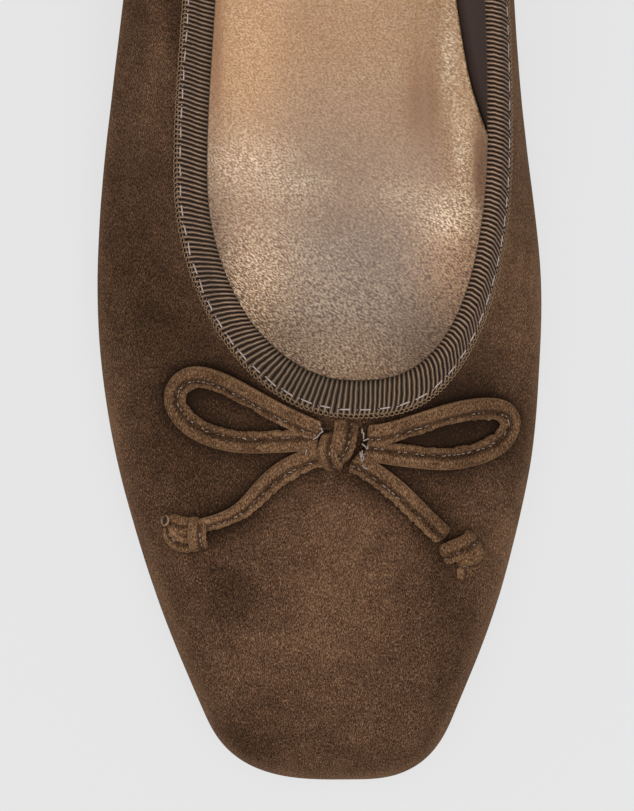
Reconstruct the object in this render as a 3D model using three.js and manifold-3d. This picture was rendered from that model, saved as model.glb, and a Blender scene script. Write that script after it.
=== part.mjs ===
// Heeled ballet flat for the right foot, built as a shoemaker builds it: a hollow lasted upper with a ribbon
// binding round its topline, an insole, an outsole, a block heel with its rubber top piece, and a bow of
// stitched suede cord tacked to the vamp.
// Frame: millimetres, +Z up. The toe points to -Y and the medial side to +X. The origin is on the floor under
// the middle of the heel. "Along" is measured from the tip of the toe towards the back of the heel.
import * as THREE from 'three';
import { mergeVertices } from 'three/addons/utils/BufferGeometryUtils.js';
import Module from 'manifold-3d';

// Driving sizes of the last
const shoeLength = 250;
const ballWidth = 82.4;
const heelHeight = 30;
const heelCentreFromBack = 27;
const toeSpring = 6;
const backHeight = 52;
const throatHeight = 37.5;
const sideHeight = 33;
const throatFromToe = 72.6;

// Materials and fits
const wall = 1.6;
const toplineWall = 1.2;
const skiveLength = 9;
const outsoleThickness = 3.2;
const soleReveal = 0.8;
const insoleThickness = 4.6;
const insoleDish = 1.4;
const archGap = 3;
const clearance = 0.3;

// Sole line
const seatSlope = 0.07;
const treadStart = 60;
const treadEnd = 92;
const waistEnd = 194;

// Toe, throat and heel curves in plan
const toeCentre = 5;
const toeReach = 13;
const toePower = 3.15;
const heelReach = 31;
const heelPower = 2.2;
const throatCentre = 6.3;
const throatReach = { lateral: 36.8, medial: 49.4 };
const throatPower = { lateral: 2.02, medial: 2.65 };
const collarBackInset = 5.5;
const collarBackReach = 24;
const collarBackPower = 2.1;

// Heel block
const heelTopLength = 54;
const heelFootLength = 45;
const heelFlare = 3.2;
const heelInset = 0.6;
const heelBreastHollow = 2.5;
const topPieceThickness = 5;

// Binding and bow
const bindingWidth = 5.8;
const ribbonThickness = 0.6;
const bowFromToe = 62.1;
const bowEdgeMargin = 6;
const bowCentre = 3.5;
const bowCordWidth = 4;
const bowCordThickness = 2.3;
const knotWidth = 7.2;
const knotLength = 8.4;
const knotHeight = 4.6;
const tailKnotLength = 8;
const tailKnotHeight = 4.4;
const knotWrapTurn = 72;
const tailWrapTurn = 78;

// Mesh fineness
const raysPerSide = 42;
const turnWeight = 26;
const rowsBelow = 3;
const rowsAbove = 6;

const halfBall = ballWidth / 2;
const sides = ['lateral', 'medial'];
const outward = { lateral: -1, medial: 1 };
const radians = (degrees) => (degrees * Math.PI) / 180;
const lerp = THREE.MathUtils.lerp;

// Half widths of the last's widest outline at each station: shares of half the ball width, before the toe and
// the heel close the curve. "at" is a share of the shoe's length.
const outlineTable = [
  { at: 0.0, lateral: 0.388, medial: 0.485 },
  { at: 0.06, lateral: 0.549, medial: 0.631 },
  { at: 0.12, lateral: 0.699, medial: 0.774 },
  { at: 0.18, lateral: 0.821, medial: 0.878 },
  { at: 0.24, lateral: 0.918, medial: 0.953 },
  { at: 0.3, lateral: 0.979, medial: 0.985 },
  { at: 0.36, lateral: 1.002, medial: 0.997 },
  { at: 0.42, lateral: 0.99, medial: 0.967 },
  { at: 0.5, lateral: 0.941, medial: 0.907 },
  { at: 0.58, lateral: 0.881, medial: 0.869 },
  { at: 0.68, lateral: 0.818, medial: 0.818 },
  { at: 0.8, lateral: 0.772, medial: 0.768 },
  { at: 0.9, lateral: 0.757, medial: 0.75 },
  { at: 1.0, lateral: 0.74, medial: 0.735 },
];

// Where the feather edge, which meets the sole, lies inside the outline (shares of half the ball width), and
// how high above it the upper is widest (share of the back height).
const featherTable = [
  { at: 0.0, lateral: 0.06, medial: 0.06, widest: 0.11 },
  { at: 0.12, lateral: 0.075, medial: 0.075, widest: 0.145 },
  { at: 0.24, lateral: 0.08, medial: 0.08, widest: 0.165 },
  { at: 0.36, lateral: 0.085, medial: 0.12, widest: 0.175 },
  { at: 0.46, lateral: 0.115, medial: 0.21, widest: 0.2 },
  { at: 0.58, lateral: 0.155, medial: 0.315, widest: 0.25 },
  { at: 0.68, lateral: 0.15, medial: 0.28, widest: 0.3 },
  { at: 0.78, lateral: 0.135, medial: 0.19, widest: 0.36 },
  { at: 0.88, lateral: 0.12, medial: 0.13, widest: 0.4 },
  { at: 1.0, lateral: 0.11, medial: 0.11, widest: 0.42 },
];

// The topline's half widths (shares of half the ball width) and the lean of the wall there, in degrees from
// upright.
const toplineTable = [
  { at: 0.29, lateral: 0.533, medial: 0.786, leanLateral: 68, leanMedial: 68 },
  { at: 0.305, lateral: 0.533, medial: 0.786, leanLateral: 52, leanMedial: 44 },
  { at: 0.33, lateral: 0.533, medial: 0.786, leanLateral: 39, leanMedial: 25 },
  { at: 0.38, lateral: 0.535, medial: 0.788, leanLateral: 34, leanMedial: 17 },
  { at: 0.45, lateral: 0.548, medial: 0.797, leanLateral: 35, leanMedial: 16 },
  { at: 0.58, lateral: 0.51, medial: 0.784, leanLateral: 31, leanMedial: 16 },
  { at: 0.68, lateral: 0.5, medial: 0.724, leanLateral: 25, leanMedial: 15 },
  { at: 0.78, lateral: 0.516, medial: 0.636, leanLateral: 19, leanMedial: 14 },
  { at: 0.88, lateral: 0.533, medial: 0.567, leanLateral: 14, leanMedial: 13 },
  { at: 1.0, lateral: 0.53, medial: 0.535, leanLateral: 11, leanMedial: 11 },
];

// The topline's height above the feather edge, as shares of the three named heights.
const heightTable = [
  { at: 0.28, throat: 1, side: 0, back: 0, medialRise: 0 },
  { at: 0.36, throat: 0.3, side: 0.7, back: 0, medialRise: 0.01 },
  { at: 0.45, throat: 0, side: 1, back: 0, medialRise: 0.04 },
  { at: 0.58, throat: 0, side: 1.02, back: 0, medialRise: 0.06 },
  { at: 0.68, throat: 0, side: 0.9, back: 0.12, medialRise: 0.05 },
  { at: 0.8, throat: 0, side: 0.45, back: 0.53, medialRise: 0.03 },
  { at: 0.9, throat: 0, side: 0.12, back: 0.87, medialRise: 0.01 },
  { at: 1.0, throat: 0, side: 0, back: 1, medialRise: 0 },
];

// How upright the wall starts (share of its rise) and how long it runs straight below the topline (share of
// the distance between the two).
const profileTable = [
  { at: 0.0, start: 0.7, finish: 0.6 },
  { at: 0.12, start: 0.62, finish: 0.56 },
  { at: 0.24, start: 0.52, finish: 0.48 },
  { at: 0.36, start: 0.44, finish: 0.42 },
  { at: 0.58, start: 0.4, finish: 0.4 },
  { at: 1.0, start: 0.4, finish: 0.36 },
];

// Stations where the sections of the upper stand square to the shoe; between the first and the toe they fan out
// round the throat.
const squareStations = [0.45, 0.66, 0.85];

// The bow in plan, in shares of its half span from the knot: "out" away from the middle, "back" to the heel,
// "lift" above the vamp, a row for each bend.
const bowTables = {
  lateral_loop: [
    { out: 0.13, back: 0.102, lift: 0.02 },
    { out: 0.302, back: 0.197, lift: 0.03 },
    { out: 0.567, back: 0.348, lift: 0.03 },
    { out: 0.722, back: 0.416, lift: 0.03 },
    { out: 0.857, back: 0.429, lift: 0.03 },
    { out: 0.956, back: 0.367, lift: 0.02 },
    { out: 0.987, back: 0.274, lift: 0.01 },
    { out: 0.937, back: 0.17, lift: 0.01 },
    { out: 0.826, back: 0.083, lift: 0.0 },
    { out: 0.641, back: 0.028, lift: 0.0 },
    { out: 0.456, back: 0.022, lift: 0.0 },
    { out: 0.29, back: 0.034, lift: 0.01 },
    { out: 0.13, back: 0.052, lift: 0.02 },
  ],
  medial_loop: [
    { out: 0.13, back: 0.059, lift: 0.02 },
    { out: 0.29, back: 0.096, lift: 0.03 },
    { out: 0.561, back: 0.188, lift: 0.03 },
    { out: 0.722, back: 0.225, lift: 0.03 },
    { out: 0.87, back: 0.234, lift: 0.03 },
    { out: 0.974, back: 0.207, lift: 0.03 },
    { out: 1.017, back: 0.139, lift: 0.02 },
    { out: 0.987, back: 0.046, lift: 0.01 },
    { out: 0.888, back: -0.028, lift: 0.01 },
    { out: 0.758, back: -0.071, lift: 0.0 },
    { out: 0.611, back: -0.083, lift: 0.0 },
    { out: 0.438, back: -0.065, lift: 0.0 },
    { out: 0.29, back: -0.04, lift: 0.01 },
    { out: 0.136, back: -0.009, lift: 0.02 },
  ],
  lateral_tail: [
    { out: 0.08, back: -0.045, lift: 0.0 },
    { out: 0.203, back: -0.091, lift: 0.0 },
    { out: 0.321, back: -0.156, lift: 0.0 },
    { out: 0.438, back: -0.256, lift: 0.0 },
    { out: 0.549, back: -0.367, lift: 0.0 },
    { out: 0.666, back: -0.441, lift: 0.0 },
    { out: 0.8, back: -0.485, lift: 0.01 },
  ],
  medial_tail: [
    { out: 0.08, back: -0.085, lift: 0.0 },
    { out: 0.203, back: -0.16, lift: 0.0 },
    { out: 0.351, back: -0.281, lift: 0.0 },
    { out: 0.475, back: -0.41, lift: 0.0 },
    { out: 0.62, back: -0.555, lift: 0.01 },
  ],
};
// Where each tail's knot sits, from the tail's last bend, and which way its end points in plan, in degrees from
// straight out.
const tailKnots = {
  lateral: { out: 0.919, back: -0.54, turn: -8 },
  medial: { out: 0.752, back: -0.657, turn: -40 },
};

// A natural cubic spline through the rows of a table, as a function of the "at" column.
function splineOf(rows, column) {
  const x = rows.map((row) => row.at);
  const y = rows.map((row) => row[column]);
  const last = x.length - 1;
  const bend = new Array(last + 1).fill(0);
  const carry = new Array(last + 1).fill(0);
  for (let i = 1; i < last; i++) {
    const share = (x[i] - x[i - 1]) / (x[i + 1] - x[i - 1]);
    const pivot = share * bend[i - 1] + 2;
    const kink = (y[i + 1] - y[i]) / (x[i + 1] - x[i]) - (y[i] - y[i - 1]) / (x[i] - x[i - 1]);
    bend[i] = (share - 1) / pivot;
    carry[i] = ((6 * kink) / (x[i + 1] - x[i - 1]) - share * carry[i - 1]) / pivot;
  }
  for (let i = last - 1; i > 0; i--) carry[i] += bend[i] * carry[i + 1];
  return (at) => {
    let i = 0;
    while (i < last - 1 && at > x[i + 1]) i++;
    const step = x[i + 1] - x[i];
    const a = (x[i + 1] - at) / step;
    const b = 1 - a;
    const curve = (a ** 3 - a) * carry[i] + (b ** 3 - b) * carry[i + 1];
    return a * y[i] + b * y[i + 1] + (curve * step * step) / 6;
  };
}

const curves = {};
for (const [name, table] of Object.entries({
  outline: outlineTable,
  feather: featherTable,
  topline: toplineTable,
  height: heightTable,
  profile: profileTable,
})) {
  curves[name] = {};
  for (const column of Object.keys(table[0])) curves[name][column] = splineOf(table, column);
}

// How far a curve has closed at a distance from its end: 0 at the end itself, 1 from "reach" onwards.
function closing(distance, reach, power) {
  if (distance >= reach) return 1;
  const left = 1 - Math.max(distance, 0) / reach;
  return (1 - left ** power) ** (1 / power);
}

// Sole line: the height of the outsole's underside at a distance along the shoe.
const heelCentre = shoeLength - heelCentreFromBack;
const seatHeight = (along) => heelHeight + seatSlope * (along - heelCentre);
function soleUnderside(along) {
  if (along < treadStart) return toeSpring * ((treadStart - along) / treadStart) ** 2;
  if (along < treadEnd) return 0;
  if (along > waistEnd) return seatHeight(along);
  const span = waistEnd - treadEnd;
  const t = (along - treadEnd) / span;
  return (3 - 2 * t) * t * t * seatHeight(waistEnd) + (t - 1) * t * t * span * seatSlope;
}
const soleTop = (along) => soleUnderside(along) + outsoleThickness;
const featherLine = (along) => soleTop(along) + clearance;

// Points are kept as x, along and z, and turned into the part's frame only when a mesh is made.
const point = (x, along, z) => new THREE.Vector3(x, along, z);

function outlinePoint(side, along) {
  const at = along / shoeLength;
  const half = outward[side] * halfBall * curves.outline[side](at);
  const toe = closing(along, toeReach, toePower);
  const heel = closing(shoeLength - along, heelReach, heelPower);
  const x = lerp(toeCentre, half, toe) * heel;
  return point(x, along, featherLine(along) + backHeight * curves.feather.widest(at));
}

function toplinePoint(side, along) {
  const at = along / shoeLength;
  const half = outward[side] * halfBall * curves.topline[side](at);
  const front = closing(along - throatFromToe, throatReach[side], throatPower[side]);
  const back = closing(shoeLength - collarBackInset - along, collarBackReach, collarBackPower);
  const shares = curves.height;
  const rise = side === 'medial' ? shares.medialRise(at) * sideHeight : 0;
  const height =
    throatHeight * shares.throat(at) + sideHeight * shares.side(at) + backHeight * shares.back(at) + rise;
  return point(lerp(throatCentre, half, front) * back, along, featherLine(along) + height);
}

// A dense line from one end of the shoe to the other, close together where the curve turns.
function trace(pointAt, from, to) {
  const steps = 600;
  const line = [];
  for (let i = 0; i <= steps; i++) {
    const eased = (1 - Math.cos((Math.PI * i) / steps)) / 2;
    line.push(pointAt(lerp(from, to, eased * eased * (3 - 2 * eased))));
  }
  return line;
}

// Lengths along a line, each step counted longer by its turn in plan when a weight is given.
function measure(line, weight = 0) {
  const total = [0];
  let heading = null;
  for (let i = 1; i < line.length; i++) {
    const dx = line[i].x - line[i - 1].x;
    const dy = line[i].y - line[i - 1].y;
    const now = Math.atan2(dy, dx);
    const turn = heading === null ? 0 : Math.abs(Math.atan2(Math.sin(now - heading), Math.cos(now - heading)));
    heading = now;
    total.push(total[i - 1] + Math.hypot(dx, dy) + weight * turn);
  }
  return total;
}

// The value of one list where another, rising list reaches a given amount.
function lookUp(amount, rising, values) {
  let high = 1;
  while (high < rising.length - 1 && rising[high] < amount) high++;
  const low = high - 1;
  const span = rising[high] - rising[low];
  const share = span > 0 ? THREE.MathUtils.clamp((amount - rising[low]) / span, 0, 1) : 0;
  return values[low].clone ? values[low].clone().lerp(values[high], share) : lerp(values[low], values[high], share);
}

// One side's rays: each joins a point of the outline to its point of the topline.
function raysOf(side) {
  const outer = trace((along) => outlinePoint(side, along), 0, shoeLength);
  const inner = trace((along) => toplinePoint(side, along), throatFromToe, shoeLength - collarBackInset);
  const outerLength = measure(outer);
  const innerLength = measure(inner);
  const outerAlong = outer.map((p) => p.y);
  const innerAlong = inner.map((p) => p.y);
  const pairs = [{ at: 0, inner: 0 }];
  for (const station of squareStations) {
    const along = station * shoeLength;
    pairs.push({ at: lookUp(along, outerAlong, outerLength), inner: lookUp(along, innerAlong, innerLength) });
  }
  pairs.push({ at: outerLength.at(-1), inner: innerLength.at(-1) });
  const partner = splineOf(pairs, 'inner');
  const weighted = measure(outer, turnWeight);
  const rays = [];
  for (let i = 0; i <= raysPerSide; i++) {
    const length = lookUp((weighted.at(-1) * i) / raysPerSide, weighted, outerLength);
    const o = lookUp(length, outerLength, outer);
    const t = lookUp(partner(length), innerLength, inner);
    rays.push({ side, o, t });
  }
  return rays;
}

// All rays in a ring: down the lateral side from toe to heel, and back up the medial side.
const lateralRays = raysOf('lateral');
const medialRays = raysOf('medial');
const rays = [...lateralRays, ...medialRays.slice(1, -1).reverse()];
const rayCount = rays.length;
const paired = (i) => (rayCount - i) % rayCount;

// The way out of the shoe, square to the outline, at each ray.
rays.forEach((ray, i) => {
  const before = rays[(i + rayCount - 1) % rayCount].o;
  const after = rays[(i + 1) % rayCount].o;
  ray.out = point(before.y - after.y, after.x - before.x, 0).normalize();
});

// The upper's outer surface on a ray, from the feather edge (0) by the widest line (1) to the topline (2).
function profileCurves(ray) {
  const at = ray.o.y / shoeLength;
  const tuck = halfBall * curves.feather[ray.side](at);
  const feather = ray.o.clone().addScaledVector(ray.out, -tuck);
  feather.z = featherLine(feather.y);
  const below = ray.o.z - feather.z;
  const sweepOut = feather.clone().addScaledVector(ray.out, tuck * 0.45);
  sweepOut.z += below * 0.35;
  const settle = ray.o.clone();
  settle.z -= below * 0.5;
  const lower = new THREE.CubicBezierCurve3(feather, sweepOut, settle, ray.o);
  const lean = radians(
    curves.topline[ray.side === 'lateral' ? 'leanLateral' : 'leanMedial'](ray.t.y / shoeLength),
  );
  const inward = point(ray.t.x - ray.o.x, ray.t.y - ray.o.y, 0).normalize();
  const rise = ray.o.clone();
  rise.z += (ray.t.z - ray.o.z) * curves.profile.start(at);
  const run = ray.t.distanceTo(ray.o) * curves.profile.finish(at);
  const settleIn = ray.t.clone().addScaledVector(inward, -run * Math.sin(lean));
  settleIn.z -= run * Math.cos(lean);
  return { lower, upper: new THREE.CubicBezierCurve3(ray.o, rise, settleIn, ray.t) };
}
rays.forEach((ray) => Object.assign(ray, profileCurves(ray)));

const surfacePoint = (ray, level) =>
  level <= 1 ? ray.lower.getPoint(level) : ray.upper.getPoint(Math.min(level - 1, 1));

// The outward normal of the surface at a ray and level, from its neighbours.
function surfaceNormal(i, level) {
  const step = 0.04;
  const before = surfacePoint(rays[(i + rayCount - 1) % rayCount], level);
  const after = surfacePoint(rays[(i + 1) % rayCount], level);
  const low = surfacePoint(rays[i], Math.max(level - step, 0));
  const high = surfacePoint(rays[i], Math.min(level + step, 2));
  return after.sub(before).cross(high.sub(low)).normalize().negate();
}

// A point of the wall at a depth under the outer surface. At the feather edge the depth runs level, so that
// the wall stands on the sole with a flat foot.
function wallPoint(i, level, depth) {
  const normal = surfaceNormal(i, level);
  const flatness = THREE.MathUtils.clamp(1 - level / 0.5, 0, 1);
  normal.lerp(rays[i].out, flatness).normalize();
  return surfacePoint(rays[i], level).addScaledVector(normal, -depth);
}

// The level on a ray that lies a given length below the topline, measured along the surface.
function levelBelowTopline(i, length) {
  let level = 2;
  let walked = 0;
  let here = surfacePoint(rays[i], level);
  while (walked < length && level > 0) {
    const next = surfacePoint(rays[i], level - 0.01);
    walked += next.distanceTo(here);
    here = next;
    level -= 0.01;
  }
  return level;
}

// The wall thins towards the topline, where it is skived for the binding.
function thicknessAt(i, level) {
  const start = levelBelowTopline(i, skiveLength);
  return lerp(wall, toplineWall, THREE.MathUtils.smoothstep(level, start, 2));
}

// Meshes
const toFrame = (p) => [p.x, p.y - heelCentre, p.z];

function geometryOf(points, faces) {
  const positions = points.flatMap(toFrame);
  let volume = 0;
  const corner = (k) => new THREE.Vector3().fromArray(positions, 3 * k);
  for (const [a, b, c] of faces) volume += corner(a).dot(corner(b).cross(corner(c)));
  const turned = volume < 0 ? faces.map(([a, b, c]) => [a, c, b]) : faces;
  return new THREE.BufferGeometry()
    .setAttribute('position', new THREE.Float32BufferAttribute(positions, 3))
    .setIndex(turned.flat());
}

// The two triangles of each cell between neighbouring rings.
function band(faces, lower, upper) {
  const count = lower.length;
  for (let i = 0; i < count; i++) {
    const next = (i + 1) % count;
    faces.push([lower[i], lower[next], upper[next]], [lower[i], upper[next], upper[i]]);
  }
}

// A tube of closed rings: joined end to end, or closed with a fan at each end.
function ringSolid(rings, endless) {
  const points = rings.flat();
  const count = rings[0].length;
  const index = (ring) => Array.from({ length: count }, (_, k) => ring * count + k);
  const faces = [];
  for (let r = 0; r + 1 < rings.length; r++) band(faces, index(r), index(r + 1));
  if (endless) {
    band(faces, index(rings.length - 1), index(0));
    return geometryOf(points, faces);
  }
  for (const ring of [0, rings.length - 1]) {
    const middle = points.length;
    points.push(rings[ring].reduce((sum, p) => sum.add(p), point(0, 0, 0)).divideScalar(count));
    const order = ring === 0 ? [1, 0] : [0, 1];
    index(ring).forEach((a, k, all) => {
      const pair = [a, all[(k + 1) % count]];
      faces.push([middle, pair[order[0]], pair[order[1]]]);
    });
  }
  return geometryOf(points, faces);
}

// A plate whose rings go up its edge. Both faces are woven across from each point to its partner on the other
// side, and a function gives the height inside each face.
function plateSolid(rings, strips, heights) {
  const points = rings.flat();
  const count = rings[0].length;
  const half = count / 2;
  const faces = [];
  const index = (ring) => Array.from({ length: count }, (_, k) => ring * count + k);
  for (let r = 0; r + 1 < rings.length; r++) band(faces, index(r), index(r + 1));
  const ends = [
    { ring: 0, height: heights.bottom, up: false },
    { ring: rings.length - 1, height: heights.top, up: true },
  ];
  for (const { ring, height, up } of ends) {
    const rows = [];
    for (let i = 0; i <= half; i++) {
      const a = ring * count + i;
      const b = ring * count + ((count - i) % count);
      const row = [a];
      for (let s = 1; s < strips && a !== b; s++) {
        const inside = points[a].clone().lerp(points[b], s / strips);
        inside.z = height(inside, s / strips, points[a].z, points[b].z);
        row.push(points.push(inside) - 1);
      }
      if (a !== b) row.push(b);
      rows.push(row);
    }
    const add = (a, b, c) => faces.push(up ? [a, c, b] : [a, b, c]);
    for (let i = 0; i < half; i++) {
      const [here, next] = [rows[i], rows[i + 1]];
      for (let s = 0; s < strips; s++) {
        if (here.length === 1) add(here[0], next[s + 1], next[s]);
        else if (next.length === 1) add(here[s], here[s + 1], next[0]);
        else {
          add(here[s], here[s + 1], next[s + 1]);
          add(here[s], next[s + 1], next[s]);
        }
      }
    }
  }
  return geometryOf(points, faces);
}

// Upper: one hollow wall from the feather edge to the topline. Its last rows lie at the binding's own edges.
const bindingStops = [1, 0.5];
const rows = rays.map((ray, i) => {
  const levels = [];
  const edges = bindingStops.map((share) => levelBelowTopline(i, bindingWidth * share));
  for (let j = 0; j < rowsBelow; j++) levels.push(j / rowsBelow);
  for (let j = 0; j < rowsAbove; j++) levels.push(lerp(1, edges[0], j / rowsAbove));
  return [...levels, ...edges, 2];
});
const rowCount = rows[0].length;
const innerRowsOf = (i) => rows[i].filter((level, j) => j < 3 || j > rowCount - 4 || j % 2 === 1);

function upperGeometry() {
  const rings = rays.map((ray, i) => {
    const outside = rows[i].map((level) => surfacePoint(ray, level));
    const inside = innerRowsOf(i).map((level) => wallPoint(i, level, thicknessAt(i, level)));
    inside[0].z = outside[0].z;
    return [...outside, ...inside.reverse()];
  });
  return ringSolid(rings, true);
}

// Binding: a ribbon folded over the topline, with a clearance to the wall all round.
function bindingGeometry() {
  const rings = rays.map((ray, i) => {
    const tops = rows[i].slice(-3);
    const inner = (level) => thicknessAt(i, level) + clearance;
    const near = (level, depth) => wallPoint(i, level, depth);
    const crest = surfacePoint(ray, 2).sub(surfacePoint(ray, 1.96)).normalize();
    const over = (depth, height) => near(2, depth).addScaledVector(crest, height);
    const fold = clearance + ribbonThickness;
    return [
      ...tops.map((level) => near(level, -fold)),
      over(-clearance, fold),
      over(inner(2), fold),
      ...tops.map((level) => near(level, inner(level) + ribbonThickness)).reverse(),
      ...tops.map((level) => near(level, inner(level))),
      over(inner(2), clearance),
      over(-clearance, clearance),
      ...tops.map((level) => near(level, -clearance)).reverse(),
    ];
  });
  return ringSolid(rings, true);
}

// Outsole: a plate a little wider than the feather edge, with its lower edge rounded.
const edgeRound = 1.1;
function outsoleGeometry() {
  const ringAt = (inset, height) =>
    rays.map((ray) => {
      const p = surfacePoint(ray, 0).addScaledVector(ray.out, soleReveal - inset);
      p.z = soleUnderside(p.y) + height;
      return p;
    });
  const rings = [
    ringAt(edgeRound, 0),
    ringAt(edgeRound * 0.3, edgeRound * 0.3),
    ringAt(0, edgeRound),
    ringAt(0, outsoleThickness),
  ];
  return plateSolid(rings, 3, {
    bottom: (p) => soleUnderside(p.y),
    top: (p) => soleTop(p.y),
  });
}

// Insole: fills the bottom of the upper, dished between its edges. Over the arch its medial edge stands off the
// wall, where the lining shows beside it.
function archGapAt(p) {
  const at = p.y / shoeLength;
  const rising = THREE.MathUtils.smoothstep(at, 0.41, 0.53);
  const falling = 1 - THREE.MathUtils.smoothstep(at, 0.68, 0.84);
  return p.x > 0 ? archGap * rising * falling : 0;
}
function insoleEdge(i, height) {
  const line = innerRowsOf(i).map((level) => wallPoint(i, level, wall + clearance * 1.15));
  const heights = line.map((p) => p.z - soleTop(p.y));
  const edge = lookUp(height, heights, line);
  edge.addScaledVector(rays[i].out, -archGapAt(edge));
  edge.z = soleTop(edge.y) + height;
  return edge;
}
function insoleGeometry() {
  const heights = [clearance, insoleThickness * 0.4, insoleThickness * 0.8, insoleThickness + insoleDish];
  const rings = heights.map((height) => rays.map((ray, i) => insoleEdge(i, height)));
  return plateSolid(rings, 5, {
    bottom: (p) => soleTop(p.y) + clearance,
    top: (p, share) => soleTop(p.y) + insoleThickness + insoleDish * Math.abs(2 * share - 1) ** 3,
  });
}

// Heel: from the seat down to the top piece, with a hollowed breast and sides that taper.
const breastPoints = 5;
const heelSidePoints = 16;
function soleEdgeX(side, along) {
  const at = along / shoeLength;
  const inside = halfBall * curves.feather[side](at) - soleReveal + heelInset;
  const o = outlinePoint(side, along);
  return Math.max(Math.abs(o.x) - inside, 0);
}
function heelRing(drop, zOf) {
  const back = shoeLength - halfBall * curves.feather.lateral(1) + soleReveal - heelInset - heelFlare * drop;
  const front = shoeLength - lerp(heelTopLength, heelFootLength, drop);
  const halfAt = (side, along) => {
    const round = closing(back - along, heelReach * 0.86, heelPower);
    return (soleEdgeX(side, front + (shoeLength - heelReach - front) * 0.5) - heelFlare * drop) * round;
  };
  const oneSide = (side) => {
    const line = [];
    for (let i = 0; i < breastPoints; i++) {
      const share = i / breastPoints;
      const hollow = heelBreastHollow * (1 - share * share);
      line.push(point(outward[side] * halfAt(side, front) * share, front + hollow, 0));
    }
    for (let i = 0; i <= heelSidePoints; i++) {
      const share = Math.sin((Math.PI * i) / (2 * heelSidePoints));
      const along = lerp(front, back, share);
      line.push(point(outward[side] * halfAt(side, along), along, 0));
    }
    return line;
  };
  const lateral = oneSide('lateral');
  const medial = oneSide('medial').slice(1, -1).reverse();
  return [...lateral, ...medial].map((p) => point(p.x, p.y, zOf(p)));
}
function heelBlockGeometry() {
  const seat = (p) => soleUnderside(p.y) - clearance;
  const foot = topPieceThickness + clearance;
  const rings = [1, 0.66, 0.33, 0].map((drop) => heelRing(drop, (p) => lerp(seat(p), foot, drop)));
  return ringSolid(rings, false);
}
function topPieceGeometry() {
  return ringSolid([heelRing(1, () => 0), heelRing(1, () => topPieceThickness)], false);
}

// The vamp's outer surface under a point in plan: its height and normal.
function vampAt(x, along) {
  const within = (a, b, c) => {
    const area = (b.x - a.x) * (c.y - a.y) - (c.x - a.x) * (b.y - a.y);
    const v = ((x - a.x) * (c.y - a.y) - (c.x - a.x) * (along - a.y)) / area;
    const w = ((b.x - a.x) * (along - a.y) - (x - a.x) * (b.y - a.y)) / area;
    return v >= -1e-6 && w >= -1e-6 && v + w <= 1 + 1e-6 ? { v, w } : null;
  };
  for (let i = 0; i < rayCount; i++) {
    const next = (i + 1) % rayCount;
    for (let j = rowsBelow; j < rowCount - 1; j++) {
      const [a, b, c, d] = [vampGrid[i][j], vampGrid[next][j], vampGrid[next][j + 1], vampGrid[i][j + 1]];
      for (const [p, q, r] of [[a, b, c], [a, c, d]]) {
        const share = within(p, q, r);
        if (!share) continue;
        const z = p.z + share.v * (q.z - p.z) + share.w * (r.z - p.z);
        const normal = q.clone().sub(p).cross(r.clone().sub(p)).normalize();
        return { z, normal: normal.z < 0 ? normal.negate() : normal };
      }
    }
  }
  throw new Error('the bow reaches past the vamp');
}
const vampGrid = rays.map((ray, i) => rows[i].map((level) => surfacePoint(ray, level)));

// A smoothed normal, so that a cord on the facets doesn't twist.
function vampFrame(x, along) {
  const middle = vampAt(x, along);
  const reach = bowCordWidth / 2;
  const normal = middle.normal.clone();
  for (const [dx, dy] of [[reach, 0], [-reach, 0], [0, reach], [0, -reach]]) {
    normal.add(vampAt(x + dx, along + dy).normal);
  }
  return { at: point(x, along, middle.z), normal: normal.normalize() };
}

// The bow's half span leaves a margin to the edge of the vamp on the medial side.
const bowSpan = outlinePoint('medial', bowFromToe).x - bowCentre - bowEdgeMargin;
function bowPoint(side, row) {
  const x = bowCentre + outward[side] * bowSpan * row.out;
  const { at, normal } = vampFrame(x, bowFromToe + bowSpan * row.back);
  const lift = clearance + bowCordThickness / 2 + bowSpan * row.lift;
  return { at: at.addScaledVector(normal, lift), normal };
}

// A flattened round cord swept along a route on the vamp.
const cordSides = 8;
function cordSection(width, thickness, turn) {
  const angle = (2 * Math.PI * turn) / cordSides;
  const across = Math.sign(Math.cos(angle)) * Math.abs(Math.cos(angle)) ** 0.8;
  const up = Math.sign(Math.sin(angle)) * Math.abs(Math.sin(angle)) ** 0.8;
  return [(across * width) / 2, (up * thickness) / 2];
}
function cordGeometry(route, width, thickness, steps) {
  const spine = new THREE.CatmullRomCurve3(route.map((r) => r.at), false, 'centripetal');
  const lean = new THREE.CatmullRomCurve3(route.map((r) => r.normal), false, 'centripetal');
  const rings = [];
  for (let s = 0; s <= steps; s++) {
    const t = s / steps;
    const tangent = spine.getTangent(t);
    const across = lean.getPoint(t).cross(tangent).normalize();
    const up = tangent.clone().cross(across).normalize();
    const middle = spine.getPoint(t);
    const ring = [];
    for (let k = 0; k < cordSides; k++) {
      const [a, u] = cordSection(width, thickness, k);
      ring.push(middle.clone().addScaledVector(across, a).addScaledVector(up, u));
    }
    rings.push(ring);
  }
  return ringSolid(rings, false);
}

// Solids that are joined or cut.
const wasm = await Module();
wasm.setup();
function manifoldOf(geometry) {
  const merged = mergeVertices(geometry, 1e-4);
  return new wasm.Manifold(
    new wasm.Mesh({
      numProp: 3,
      vertProperties: new Float32Array(merged.attributes.position.array),
      triVerts: new Uint32Array(merged.index.array),
    }),
  );
}
function geometryFrom(manifold) {
  const { numProp, numVert, vertProperties, triVerts } = manifold.getMesh();
  const positions = new Float32Array(numVert * 3);
  for (let i = 0; i < numVert; i++) {
    positions.set(vertProperties.subarray(i * numProp, i * numProp + 3), i * 3);
  }
  return new THREE.BufferGeometry()
    .setAttribute('position', new THREE.BufferAttribute(positions, 3))
    .setIndex(new THREE.BufferAttribute(new Uint32Array(triVerts), 1));
}

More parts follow.
